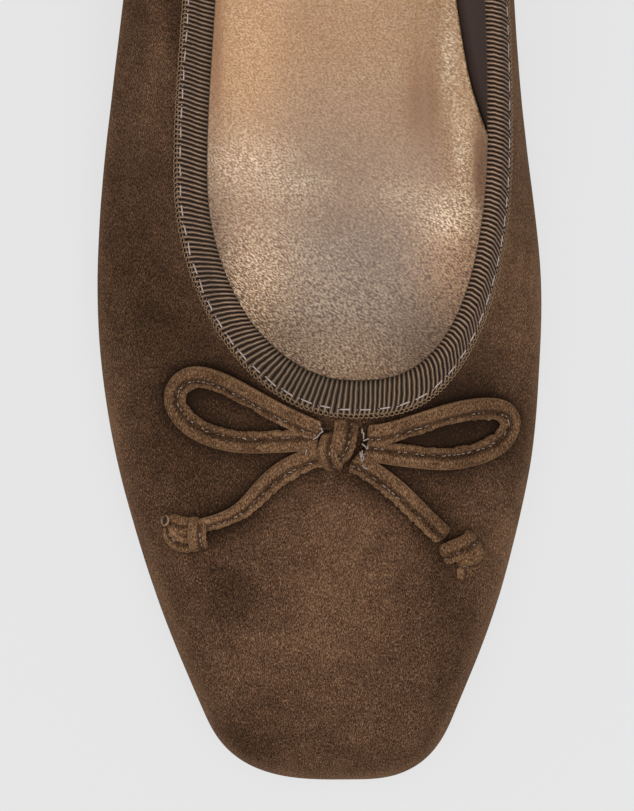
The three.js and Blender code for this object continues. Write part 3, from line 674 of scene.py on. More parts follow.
def mesh_object(name: str, points: Array, faces: Sequence[Sequence[int]] | Array) -> Piece:
    """Makes an object from points in the part's frame.

    Args:
        name: The piece's name.
        points: Vertices in metres, shape (n, 3).
        faces: Lists of vertex numbers.

    Returns:
        The new object, smooth shaded and facing outwards.
    """
    mesh = bpy.data.meshes.new(name)
    mesh.from_pydata(points.tolist(), [], [list(map(int, f)) for f in faces])
    mesh.validate()
    mesh.polygons.foreach_set("use_smooth", [True] * len(mesh.polygons))
    item = bpy.data.objects.new(name, mesh)
    bpy.context.scene.collection.objects.link(item)
    mesh.calc_loop_triangles()
    tri = np.array([t.vertices[:] for t in mesh.loop_triangles])
    a, b, c = points[tri[:, 0]], points[tri[:, 1]], points[tri[:, 2]]
    if np.einsum("ij,ij->i", a, np.cross(b, c)).sum() < 0:
        mesh.flip_normals()
    return item


def grid_faces(rows: int, columns: int, wrap_rows: bool, wrap_columns: bool) -> Array:
    """Quads of a grid whose points are numbered row by row.

    Args:
        rows: How many rows.
        columns: How many columns.
        wrap_rows: Join the last row to the first.
        wrap_columns: Join the last column to the first.

    Returns:
        Vertex numbers, shape (faces, 4).
    """
    i = np.arange(rows if wrap_rows else rows - 1)
    j = np.arange(columns if wrap_columns else columns - 1)
    i, j = np.meshgrid(i, j, indexing="ij")
    i2, j2 = (i + 1) % rows, (j + 1) % columns
    quads = [i * columns + j, i2 * columns + j, i2 * columns + j2, i * columns + j2]
    return np.stack([q.ravel() for q in quads], -1)


def capped_faces(rows: int, columns: int) -> list[list[int]]:
    """Faces of rings numbered one after another, with a fan at each end.

    Args:
        rows: How many rings.
        columns: Points in each.

    Returns:
        Vertex numbers. The fans meet at the two points that follow the rings.
    """
    faces = grid_faces(rows, columns, False, True).tolist()
    hub, last = rows * columns, (rows - 1) * columns
    for j in range(columns):
        k = (j + 1) % columns
        faces += [[hub, j, k], [hub + 1, last + k, last + j]]
    return faces


def plate(
    name: str,
    rings: Array,
    strips: int,
    bottom: Callable[[Array], Array],
    top: Callable[[Array, Array], Array],
    last: Last,
) -> Piece:
    """A closed plate whose rings go up its edge and whose faces are woven across.

    Args:
        name: The piece's name.
        rings: Rings of points, shape (k, n, 3).
        strips: Cells across each face.
        bottom: Height inside the lower face from the points.
        top: Height inside the upper face from the points and their share across.
        last: The sizes.

    Returns:
        The object.
    """
    count = rings.shape[1]
    half = count // 2
    share = np.linspace(0, 1, strips + 1)[None, :, None]
    points = [rings.reshape(-1, 3)]
    faces = [grid_faces(len(rings), count, False, True)]
    offset = len(points[0])
    for ring, flip in ((rings[0], True), (rings[-1], False)):
        a = ring[: half + 1][:, None, :]
        b = ring[(count - np.arange(half + 1)) % count][:, None, :]
        sheet = a + (b - a) * share
        heights = bottom(sheet) if flip else top(sheet, share[..., 0])
        inside = (share[..., 0] > 0) & (share[..., 0] < 1) & (np.linalg.norm(b - a, axis=-1) > 1e-6)
        sheet[..., 2] = np.where(inside, heights, sheet[..., 2])
        quads = grid_faces(half + 1, strips + 1, False, False) + offset
        faces.append(quads if flip else quads[:, ::-1])
        points.append(sheet.reshape(-1, 3))
        offset += sheet.shape[0] * sheet.shape[1]
    return merged(mesh_object(name, to_frame(np.concatenate(points), last), np.concatenate(faces)))


def merged(item: Piece) -> Piece:
    """Merges doubled points and makes the faces agree, facing out.

    Args:
        item: A closed piece.

    Returns:
        The same piece.
    """
    work = bmesh.new()
    work.from_mesh(item.data)
    bmesh.ops.remove_doubles(work, verts=work.verts, dist=1e-7)
    bmesh.ops.dissolve_degenerate(work, edges=work.edges, dist=1e-8)
    bmesh.ops.recalc_face_normals(work, faces=work.faces)
    if work.calc_volume(signed=True) < 0:
        bmesh.ops.reverse_faces(work, faces=work.faces)
    work.to_mesh(item.data)
    work.free()
    item.data.polygons.foreach_set("use_smooth", [True] * len(item.data.polygons))
    return item


def linear(colour: str) -> tuple[float, float, float, float]:
    """An sRGB hex colour as linear RGBA."""
    channels = [int(colour[i : i + 2], 16) / 255 for i in (1, 3, 5)]
    return (*[c / 12.92 if c <= 0.04045 else ((c + 0.055) / 1.055) ** 2.4 for c in channels], 1.0)


def add(tree: Nodes, kind: str, inputs: dict | None = None, **settings: object) -> bpy.types.Node:
    """Adds a node.

    Args:
        tree: The tree it joins.
        kind: The node's type.
        inputs: Values or sockets for its inputs, by name or number.
        settings: The node's own settings.

    Returns:
        The node.
    """
    node = tree.nodes.new(kind)
    for name, value in settings.items():
        setattr(node, name, value)
    for key, value in (inputs or {}).items():
        if isinstance(value, Socket):
            tree.links.new(value, node.inputs[key])
        else:
            node.inputs[key].default_value = value
    return node


def ramp(tree: Nodes, factor: Socket, stops: Sequence[tuple[float, str]]) -> Socket:
    """A colour ramp.

    Args:
        tree: The tree.
        factor: What drives it.
        stops: Positions and sRGB colours.

    Returns:
        The colour socket.
    """
    node = add(tree, "ShaderNodeValToRGB", {"Fac": factor})
    elements = node.color_ramp.elements
    while len(elements) < len(stops):
        elements.new(0.5)
    for element, (position, colour) in zip(elements, stops):
        element.position = position
        element.color = linear(colour)
    return node.outputs["Color"]


def start_material(name: str) -> tuple[Material, Nodes, Socket]:
    """A material with an empty tree.

    Args:
        name: Its name, from the real material.

    Returns:
        The material, its tree and the object coordinates in metres.
    """
    material = bpy.data.materials.new(name)
    material.use_nodes = True
    tree = material.node_tree
    tree.nodes.clear()
    return material, tree, add(tree, "ShaderNodeTexCoord").outputs["Object"]


def end_material(tree: Nodes, inputs: dict) -> None:
    """Adds the surface shader with these inputs and the output."""
    shader = add(tree, "ShaderNodeBsdfPrincipled", inputs)
    add(tree, "ShaderNodeOutputMaterial", {"Surface": shader.outputs[0]})


@dataclass(frozen=True)
class Suede:
    """Calf suede: a short brushed nap, so no gloss, with patches where it lies another way. Sizes in mm."""

    name: str
    dark: str
    middle: str
    light: str
    nap: float = 0.175
    patch: float = 24
    sheen: float = 0.14
    cloud: float = 4.5
    combing: tuple[float, float, float] = (1, 2.3, 1.5)
    tone_weight: float = 0.2

    def material(self) -> Material:
        """Makes the material. The nap is combed along the shoe and drawn coarser than a fibre, to show.

        Returns:
            The material.
        """
        material, tree, place = start_material(self.name)
        comb = {"Vector": place, "Scale": self.combing}
        combed = add(tree, "ShaderNodeMapping", comb, vector_type="TEXTURE").outputs[0]
        # The piece's painted tone: nap patches together with painted shade and painted highlights.
        tone = add(tree, "ShaderNodeAttribute", attribute_name="tone").outputs["Fac"]
        total = add(tree, "ShaderNodeMath", {0: tone, 1: self.tone_weight}, operation="MULTIPLY").outputs[0]
        for vector, size, detail, weight in (
            (place, self.patch, 3, 0.24),
            (place, self.cloud, 3, 0.16),
            (combed, self.nap, 2, 1.05),
        ):
            inputs = {"Vector": vector, "Scale": 1000 / size, "Detail": detail, "Roughness": 0.6}
            noise = add(tree, "ShaderNodeTexNoise", inputs).outputs["Fac"]
            part = add(tree, "ShaderNodeMath", {0: noise, 1: weight}, operation="MULTIPLY").outputs[0]
            total = add(tree, "ShaderNodeMath", {0: total, 1: part}).outputs[0]
        shift = add(tree, "ShaderNodeMath", {0: total, 1: 0.22}, operation="SUBTRACT").outputs[0]
        colour = ramp(tree, shift, ((0.28, self.dark), (0.5, self.middle), (0.76, self.light)))
        relief = {"Strength": 0.45, "Distance": 0.0002, "Height": noise}
        bump = add(tree, "ShaderNodeBump", relief).outputs[0]
        inputs = {"Base Color": colour, "Roughness": 1.0, "Normal": bump, "Specular IOR Level": 0.06}
        inputs |= {"Sheen Weight": self.sheen, "Sheen Roughness": 0.5, "Sheen Tint": linear("#a07a58")}
        end_material(tree, inputs)
        return material


@dataclass(frozen=True)
class Plain:
    """An even finish: dyed thread, rubber or smooth lining. The grain's size is in mm."""

    name: str
    colour: str
    roughness: float
    grain: float = 1.0
    bump: float = 0.1

    def material(self) -> Material:
        """Makes the material.

        Returns:
            The material.
        """
        material, tree, place = start_material(self.name)
        specks = {"Vector": place, "Scale": 1000 / self.grain, "Detail": 2}
        noise = add(tree, "ShaderNodeTexNoise", specks).outputs[0]
        relief = {"Strength": self.bump, "Distance": 0.0002, "Height": noise}
        bump = add(tree, "ShaderNodeBump", relief).outputs[0]
        end_material(tree, {"Base Color": linear(self.colour), "Roughness": self.roughness, "Normal": bump})
        return material


@dataclass(frozen=True)
class KidLeather:
    """Unlined kid sock leather: a fine hatched grain with a satin gloss, and painted highlights as pale
    glints on the grain.

    Sizes are in mm. The tread's tan turns to the waist's warmer leather around the tread's end.
    """

    warm: str = "#9f7850"
    tan: str = "#906942"
    # Colour of the painted glints, highlights on the grain.
    bright: str = "#dcc6a8"
    hatch: float = 0.155
    hatch_angle: float = -38
    stretch: float = 3.4
    cloud: float = 16
    tread_end: float = 106
    tread_blend: float = 16

    def material(self, last: Last) -> Material:
        """Makes the material. The grain is drawn a little coarser than real, to show at the photo's scale.

        Args:
            last: The sizes.

        Returns:
            The material.
        """
        material, tree, place = start_material("kid_sock_leather")
        slant = {"Vector": place, "Scale": (self.stretch, 1, 1)}
        slant["Rotation"] = (0, 0, math.radians(self.hatch_angle))
        hatched = add(tree, "ShaderNodeMapping", slant, vector_type="TEXTURE").outputs[0]
        pores = {"Vector": hatched, "Scale": 1000 / self.hatch, "Detail": 2, "Roughness": 0.55}
        pores["Distortion"] = 0.3
        grain = add(tree, "ShaderNodeTexNoise", pores).outputs["Fac"]
        clouds = {"Vector": place, "Scale": 1000 / self.cloud, "Detail": 2}
        wide = add(tree, "ShaderNodeTexNoise", clouds).outputs["Fac"]
        along = add(tree, "ShaderNodeSeparateXYZ", {0: place}).outputs["Y"]
        centre, reach = (self.tread_end - last.heel_centre) * MM, self.tread_blend * MM
        blend = {"Value": along, "From Min": centre - reach, "From Max": centre + reach}
        share = add(tree, "ShaderNodeMapRange", blend, interpolation_type="SMOOTHSTEP").outputs[0]
        mix = {0: share, 6: linear(self.tan), 7: linear(self.warm)}
        base = add(tree, "ShaderNodeMix", mix, data_type="RGBA").outputs[2]
        # The tone holds painted glints (positive) and painted shade in the hollows (negative).
        tone = add(tree, "ShaderNodeAttribute", attribute_name="tone").outputs["Fac"]
        uneven = add(tree, "ShaderNodeMath", {0: wide, 1: 0.3, 2: tone}, operation="MULTIPLY_ADD").outputs[0]
        uneven = add(tree, "ShaderNodeMath", {0: uneven, 1: 0.2}).outputs[0]
        crests = {"Value": grain, "From Min": 0.51, "From Max": 0.58}
        peak = add(tree, "ShaderNodeMapRange", crests).outputs[0]
        glints = {0: uneven, 1: peak}
        glint = add(tree, "ShaderNodeMath", glints, operation="MULTIPLY", use_clamp=True).outputs[0]
        # Painted highlights: pale glints on the grain's crests.
        mix = {0: glint, 6: base, 7: linear(self.bright)}
        colour = add(tree, "ShaderNodeMix", mix, data_type="RGBA").outputs[2]
        shade = ramp(tree, grain, ((0.38, "#80674f"), (0.47, "#d9cbbc"), (0.54, "#ffffff")))
        # Painted shade in the sock's hollows, where its tone is low.
        low = add(tree, "ShaderNodeMapRange", {"Value": tone, "From Min": -1.0, "From Max": 0.2}).outputs[0]
        hollow = ramp(tree, low, ((0.0, "#cbb398"), (1.0, "#ffffff")))
        depth = add(tree, "ShaderNodeMapRange", {"Value": share, "To Min": 1.0, "To Max": 0.5}).outputs[0]
        for amount, layer in ((depth, shade), (1.0, hollow)):
            mix = {0: amount, 6: colour, 7: layer}
            colour = add(tree, "ShaderNodeMix", mix, data_type="RGBA", blend_type="MULTIPLY").outputs[2]
        # Painted light: scales the colour up near the walls, lifting their shade, and a little down
        # elsewhere.
        bloom = add(tree, "ShaderNodeAttribute", attribute_name="bloom").outputs["Fac"]
        gain = add(tree, "ShaderNodeMath", {0: bloom, 1: 1.0}).outputs[0]
        colour = add(tree, "ShaderNodeVectorMath", {0: colour, "Scale": gain}, operation="SCALE").outputs[0]
        relief = {"Strength": 0.5, "Distance": 0.00015, "Height": grain}
        bump = add(tree, "ShaderNodeBump", relief).outputs[0]
        end_material(tree, {"Base Color": colour, "Roughness": 0.4, "Normal": bump})
        return material


@dataclass(frozen=True)
class Grosgrain:
    """Ribbed ribbon: a painted highlight on each rib's crest over a dark ground, painted shade between the
    ribs. The map gives ribs round and mm across.

    The ridge's place is a share of the rib's pitch. Where its tone is low, a darker copy with a dimmer
    painted highlight takes over.
    """

    ground: str = "#110a06"
    flank: str = "#513e30"
    ridge: str = "#ab907a"
    dull: str = "#33291f"
    dull_ridge: str = "#695747"
    ridge_place: float = 0.65
    waver: float = 0.3
    waver_size: float = 1.3
    thread: float = 0.3

    def material(self) -> Material:
        """Makes the material.

        Returns:
            The material.
        """
        material, tree, place = start_material("grosgrain_ribbon")
        spot = add(tree, "ShaderNodeSeparateXYZ", {0: add(tree, "ShaderNodeUVMap").outputs[0]}).outputs
        waves = {"Vector": place, "Scale": 1000 / self.waver_size, "Detail": 2}
        wobble = add(tree, "ShaderNodeTexNoise", waves).outputs["Fac"]
        ribs = {0: wobble, 1: self.waver, 2: spot["X"]}
        moved = add(tree, "ShaderNodeMath", ribs, operation="MULTIPLY_ADD").outputs[0]
        wave = add(tree, "ShaderNodeMath", {0: moved}, operation="FRACT").outputs[0]
        ridge = add(tree, "ShaderNodeMath", {0: wave, 1: self.ridge_place}, operation="SUBTRACT").outputs[0]
        away = add(tree, "ShaderNodeMath", {0: ridge}, operation="ABSOLUTE").outputs[0]
        # A lit copy with a painted highlight on each crest and painted shade in the gaps, and a darker copy
        # for where the tone is low.
        lit = ((0.01, self.ridge), (0.1, self.flank), (0.24, self.flank), (0.36, self.ground))
        flat = ((0.05, self.dull_ridge), (0.2, self.dull), (0.36, self.dull), (0.46, self.ground))
        tone = add(tree, "ShaderNodeAttribute", attribute_name="tone").outputs["Fac"]
        mix = {0: tone, 6: ramp(tree, away, flat), 7: ramp(tree, away, lit)}
        colour = add(tree, "ShaderNodeMix", mix, data_type="RGBA").outputs[2]
        edge = {"Value": spot["Y"], "From Min": 0.1, "From Max": 0.5}
        selvage = add(tree, "ShaderNodeMapRange", edge).outputs[0]
        mix = {0: selvage, 6: linear(self.ground), 7: colour}
        colour = add(tree, "ShaderNodeMix", mix, data_type="RGBA").outputs[2]
        threads = {"Vector": place, "Scale": 1000 / self.thread, "Detail": 2}
        fine = add(tree, "ShaderNodeTexNoise", threads).outputs["Fac"]
        bump = add(tree, "ShaderNodeBump", {"Strength": 0.3, "Distance": 0.0001, "Height": fine}).outputs[0]
        inputs = {"Base Color": colour, "Roughness": 0.85, "Normal": bump, "Specular IOR Level": 0.12}
        end_material(tree, inputs)
        return material


@dataclass
class Palette:
    """The shoe's materials and its rows of thread, made once."""

    last: Last

    def __post_init__(self) -> None:
        """Makes them."""
        self.upper = Suede("calf_suede_upper", "#20150d", "#4a3425", "#80634b").material()
        self.heel = Suede("calf_suede_heel", "#20150d", "#4a3425", "#80634b").material()
        self.cord = Suede("calf_suede_cord", "#22160e", "#4d3725", "#85664b", 0.21, 12, 0.16).material()
        self.lining = Plain("smooth_dark_lining", "#3c2c26", 0.6).material()
        self.thread = Plain("waxed_linen_thread", "#8f817a", 0.55, 0.3).material()
        self.bow_thread = Plain("waxed_linen_thread_brown", "#7f7067", 0.55, 0.3).material()
        # Near-black, for painted shadow in the needle holes and in the cord's open end.
        self.shadow = Plain("needle_hole_black", "#0d0907", 0.9, 0.3).material()
        self.fringe = Plain("brown_weft_loops", "#6f563b", 0.8, 0.3).material()
        self.rubber = Plain("matte_dark_rubber", "#241f1d", 0.75, 0.8).material()
        self.sole = Plain("moulded_sole_rubber", "#2b2421", 0.8, 1.2, 0.2).material()
        self.kid = KidLeather().material(self.last)
        self.grosgrain = Grosgrain().material()
        self.row = CapsuleRow()
        self.loops = LoopRow()


@dataclass(frozen=True)
class Thread:
    """One kind of stitch or loop: its size in mm, its seed, and how much the sizes differ, as a share."""

    length: float
    thickness: float
    seed: int
    variation: float = 0.08


class CapsuleRow:
    """Geometry nodes that set one small thread shape, here a round-ended stitch, on every point of a mesh."""

    NAME = "stitch_row"
    SEGMENTS = 8
    RINGS = 6
    INPUTS = (
        ("Length", "Float"),
        ("Thickness", "Float"),
        ("Variation", "Float"),
        ("Seed", "Int"),
        ("Material", "Material"),
    )

    def __init__(self) -> None:
        """Builds the tree."""
        self.tree = tree = bpy.data.node_groups.new(self.NAME, "GeometryNodeTree")
        tree.interface.new_socket("Geometry", in_out="INPUT", socket_type="NodeSocketGeometry")
        for name, kind in self.INPUTS:
            tree.interface.new_socket(name, in_out="INPUT", socket_type=f"NodeSocket{kind}")
        tree.interface.new_socket("Geometry", in_out="OUTPUT", socket_type="NodeSocketGeometry")
        given = add(tree, "NodeGroupInput").outputs
        shape = add(tree, "GeometryNodeSetShadeSmooth", {"Geometry": self.shape(given)}).outputs[0]
        turn = add(tree, "GeometryNodeInputNamedAttribute", {"Name": "turn"}, data_type="FLOAT_VECTOR")
        turned = add(tree, "FunctionNodeEulerToRotation", {0: turn.outputs[0]}).outputs[0]
        low = add(tree, "ShaderNodeMath", {0: 1.0, 1: given["Variation"]}, operation="SUBTRACT").outputs[0]
        high = add(tree, "ShaderNodeMath", {0: 1.0, 1: given["Variation"]}, operation="ADD").outputs[0]
        sizes = {0: low, 1: high, "Seed": given["Seed"]}
        varied = add(tree, "FunctionNodeRandomValue", sizes, data_type="FLOAT_VECTOR").outputs[0]
        inputs = {"Points": given["Geometry"], "Instance": shape, "Rotation": turned, "Scale": varied}
        placed = add(tree, "GeometryNodeInstanceOnPoints", inputs).outputs[0]
        real = add(tree, "GeometryNodeRealizeInstances", {"Geometry": placed}).outputs[0]
        dye = {"Geometry": real, "Material": given["Material"]}
        add(tree, "NodeGroupOutput", {"Geometry": add(tree, "GeometryNodeSetMaterial", dye).outputs[0]})

    def shape(self, given: bpy.types.NodeOutputs) -> Socket:
        """The shape that is repeated: a ball pulled apart to a capsule along Z.

        Args:
            given: The tree's inputs.

        Returns:
            The shape's geometry.
        """
        tree = self.tree
        radius = add(tree, "ShaderNodeMath", {0: given["Thickness"], 1: 0.5}, operation="MULTIPLY").outputs[0]
        sizes = {"Segments": self.SEGMENTS, "Rings": self.RINGS, "Radius": radius}
        ball = add(tree, "GeometryNodeMeshUVSphere", sizes).outputs["Mesh"]
        position = add(tree, "GeometryNodeInputPosition").outputs[0]
        height = add(tree, "ShaderNodeSeparateXYZ", {0: position}).outputs["Z"]
        sign = add(tree, "ShaderNodeMath", {0: height}, operation="SIGN").outputs[0]
        spare = add(tree, "ShaderNodeMath", {0: given["Length"], 1: given["Thickness"]}, operation="SUBTRACT")
        half = add(tree, "ShaderNodeMath", {0: spare.outputs[0], 1: 0.5}, operation="MULTIPLY").outputs[0]
        shift = add(tree, "ShaderNodeMath", {0: sign, 1: half}, operation="MULTIPLY").outputs[0]
        offset = add(tree, "ShaderNodeCombineXYZ", {"Z": shift}).outputs[0]
        return add(tree, "GeometryNodeSetPosition", {"Geometry": ball, "Offset": offset}).outputs[0]

    def lay(
        self,
        name: str,
        rows: tuple[Array, Array, Array],
        thread: Thread,
        material: Material,
        slot: str,
    ) -> Piece:
        """Lays a row of them.

        Args:
            name: The piece's name.
            rows: Their centres in metres, the directions of their length, and those away from the surface.
            thread: Their size.
            material: Their material.
            slot: Not used.

        Returns:
            The dressed piece.
        """
        points, tangents, normals = rows
        mesh = bpy.data.meshes.new(name + "_points")
        mesh.from_pydata(points.tolist(), [], [])
        z = unit(tangents)
        y = unit(np.cross(z, normals))
        x = np.cross(y, z)
        turns = [Matrix((a, b, c)).transposed().to_euler("XYZ")[:] for a, b, c in zip(x, y, z)]
        turn = mesh.attributes.new("turn", "FLOAT_VECTOR", "POINT")
        turn.data.foreach_set("vector", np.array(turns).ravel())
        holder = bpy.data.objects.new(name, mesh)
        bpy.context.scene.collection.objects.link(holder)
        modifier = holder.modifiers.new("row", "NODES")
        modifier.node_group = self.tree
        values = {"Length": thread.length * MM, "Thickness": thread.thickness * MM, "Seed": thread.seed}
        values |= {"Variation": thread.variation, "Material": material}
        for socket in self.tree.interface.items_tree:
            if socket.item_type == "SOCKET" and socket.in_out == "INPUT" and socket.name in values:
                modifier[socket.identifier] = values[socket.name]
        bpy.context.view_layer.update()
        evaluated = holder.evaluated_get(bpy.context.evaluated_depsgraph_get())
        made = bpy.data.meshes.new_from_object(evaluated)
        bpy.data.objects.remove(holder)
        made.name = name
        item = bpy.data.objects.new(name, made)
        bpy.context.scene.collection.objects.link(item)
        dress(item, (), ())
        return item


class LoopRow(CapsuleRow):
    """The same with a small closed loop of thread, standing across the Z axis."""

    NAME = "loop_row"
    LOOP_SIDES = 12
    THREAD_SIDES = 5

    def shape(self, given: bpy.types.NodeOutputs) -> Socket:
        """A ring of thread whose outer size is the length.

        Args:
            given: The tree's inputs.

        Returns:
            The shape's geometry.
        """
        tree = self.tree
        spare = add(tree, "ShaderNodeMath", {0: given["Length"], 1: given["Thickness"]}, operation="SUBTRACT")
        around = add(tree, "ShaderNodeMath", {0: spare.outputs[0], 1: 0.5}, operation="MULTIPLY").outputs[0]
        radius = add(tree, "ShaderNodeMath", {0: given["Thickness"], 1: 0.5}, operation="MULTIPLY").outputs[0]
        curves = {}
        parts = (("Curve", self.LOOP_SIDES, around), ("Profile Curve", self.THREAD_SIDES, radius))
        for name, sides, size in parts:
            inputs = {"Resolution": sides, "Radius": size}
            curves[name] = add(tree, "GeometryNodeCurvePrimitiveCircle", inputs).outputs["Curve"]
        return add(tree, "GeometryNodeCurveToMesh", curves).outputs[0]


def dress(item: Piece, materials: Sequence[Material], nodes: Sequence[str]) -> None:
    """Gives a piece its materials, its body and the solids it stands for.

    Args:
        item: The piece.
        materials: Its materials in order, where it has none yet.
        nodes: Names of the solids it replaces.
    """
    for material in materials:
        item.data.materials.append(material)
    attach(item, "root")
    if nodes:
        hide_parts(*nodes)


def resample(ring: Array, per_step: Array) -> Array:
    """Reads a closed ring of rows between its rows, with a smooth cubic.

    Args:
        ring: Rows, shape (n, ...).
        per_step: Fractional row numbers.

    Returns:
        The rows there.
    """
    i = np.floor(per_step).astype(int)
    t = (per_step - i).reshape(-1, *([1] * (ring.ndim - 1)))
    n = len(ring)
    p = [ring[(i + k) % n] for k in (-1, 0, 1, 2)]
    slope_a, slope_b = (p[2] - p[0]) / 2, (p[3] - p[1]) / 2
    h = t * t * (3 - 2 * t)
    return p[1] * (1 - h) + p[2] * h + slope_a * (t**3 - 2 * t * t + t) + slope_b * (t**3 - t * t)


@dataclass
class Upper:
    """The lasted suede upper with its lining, as one closed shell open at the collar and underneath."""

    last: Last
    palette: Palette
    surface: LastedSurface
    rows_below: int = 13
    rows_above: int = 62
    rows_inside: int = 42
    row_crowding: float = 1.3
    unevenness: float = 0.09
    back_seam: float = 0.4
    back_seam_reach: float = 0.9
    back_seam_start: tuple[float, float] = (225, 235)
    bound: tuple[float, float] = (5.5, 9.5)
    side_calm: float = 0.12
    base_tone: float = -0.4
    # A painted highlight on the steep faces along the outline, standing in for the suede's sheen at a grazing
    # angle.
    rim_tone: float = 0.5
    probe: float = 2
    probe_height: float = 0.2
    item: Piece | None = None
    tree: BVHTree | None = None

    def creased(self, points: Array, level: Array) -> Array:
        """Height of the creases, the leather's unevenness and the back seam.

        Args:
            points: Points on the wall in mm.
            level: Their levels, which calm it towards the sole.

        Returns:
            Heights in mm. The strip that the binding covers has none.
        """
        width = self.last.ball_width
        place = points[..., :2] / width
        total = np.zeros(points.shape[:-1])
        for from_x, from_along, to_x, to_along, spread, height in CREASES:
            start = np.array([from_x, from_along])
            run = np.array([to_x, to_along]) - start
            share = ((place - start) @ run) / (run @ run)
            foot = start + np.clip(share, 0, 1)[..., None] * run
            away = np.linalg.norm(place - foot, axis=-1)
            total += height * width * np.exp(-((away / spread) ** 2))
        total += self.unevenness * (ripple(points, 11, 7, 3) + 0.4 * ripple(points, 4, 9, 8))
        seam = self.back_seam * np.exp(-((points[..., 0] / self.back_seam_reach) ** 2))
        total -= seam * smooth(*self.back_seam_start, points[..., 1])
        free = smooth(*self.bound, self.surface_distance(level))
        calm = self.side_calm + (1 - self.side_calm) * smooth(1.05, 1.35, level)
        return total * free * calm * smooth(0.1, 0.4, level)

    def surface_distance(self, level: Array) -> Array:
        """How far each level lies below the topline.

        Args:
            level: Levels, shape (n, m).

        Returns:
            Distances in mm, the same shape.
        """
        distances = np.array([0.0, 3, 6, 9, 12, 20, 40, 80])
        levels = self.surface.below_topline(distances)
        return np.stack([np.interp(-lv, -row, distances) for row, lv in zip(levels, level)])

    def build(self) -> list[Piece]:
        """Makes the shell.

        Returns:
            The piece.
        """
        surface, last = self.surface, self.last
        below = np.linspace(0, 1, self.rows_below + 1)[:-1] ** self.row_crowding
        level = np.concatenate([below, 1 + np.linspace(0, 1, self.rows_above)])
        full = np.broadcast_to(level, (surface.count, len(level)))
        outer = surface.points(full)
        outer = outer + surface.directions(full) * self.creased(outer, full)[..., None]
        inside = np.broadcast_to(np.linspace(2, 0, self.rows_inside), (surface.count, self.rows_inside))
        inner = surface.points(inside) - surface.directions(inside) * surface.thickness(inside)[..., None]
        rows = np.concatenate([outer, inner], 1)
        points = to_frame(rows.reshape(-1, 3), last)
        item = mesh_object("upper_suede", points, grid_faces(surface.count, rows.shape[1], True, True))
        columns = np.arange(rows.shape[1])
        lining = (columns >= len(level) - 1).astype(int)
        lining[-1] = 0
        for material in (self.palette.upper, self.palette.lining):
            item.data.materials.append(material)
        item.data.polygons.foreach_set("material_index", np.tile(lining, surface.count))
        self.tree = BVHTree.FromObject(item, bpy.context.evaluated_depsgraph_get())
        # Paints the nap's tone with its painted shade and light, and a painted highlight on the steep faces.
        paint(item, last, NAP_AND_PAINTED_LIGHT_SHADE, self.base_tone, self.rim_tone)
        self.item = item
        dress(item, (), ["upper"])
        return [item]

    def on_vamp(self, x: Array, along: Array) -> tuple[Array, Array]:
        """The vamp's height and mean normal under points in plan.

        Args:
            x: Across, in mm.
            along: From the toe, in mm.

        Returns:
            Points on the vamp in mm and unit normals.
        """
        near = self.probe
        places, normals = [], []
        for px, pa in zip(x, along):
            hits = []
            for dx, dy in ((0, 0), (near, 0), (-near, 0), (0, near), (0, -near)):
                plan = (px + dx) * MM, (pa + dy - self.last.heel_centre) * MM
                origin = Vector((*plan, self.probe_height))
                hits.append(self.tree.ray_cast(origin, Vector((0, 0, -1)))[:2])
            places.append((px, pa, hits[0][0].z / MM))
            normals.append(unit(np.sum([h[1] for h in hits if h[0] is not None], axis=0)))
        return np.array(places), np.array(normals)


@dataclass
class RibbonSkin:
    """The folded ribbon's surface, row by row round the topline.

    The columns run from its outer edge over the crest inwards: points and outward directions in mm, shape
    (n, k, 3), and each column's mean distance across the ribbon.
    """

    points: Array
    out: Array
    across: Array

    def line(self, inset: float, count: int) -> tuple[Array, Array, Array]:
        """Evenly spaced points round the ribbon at one distance across it.

        Args:
            inset: Distance across, in mm.
            count: How many points.

        Returns:
            Points in mm, tangents and normals.
        """
        k = int(np.clip(np.searchsorted(self.across, inset) - 1, 0, len(self.across) - 2))
        share = (inset - self.across[k]) / (self.across[k + 1] - self.across[k])
        line = self.points[:, k] * (1 - share) + self.points[:, k + 1] * share
        normal = self.out[:, k] * (1 - share) + self.out[:, k + 1] * share
        run = lengths(np.concatenate([line, line[:1]]))
        at = np.interp((np.arange(count) + 0.5) / count * run[-1], run, np.arange(len(run)))
        ahead = resample(line, at + 1) - resample(line, at - 1)
        return resample(line, at), unit(ahead), unit(resample(normal, at))


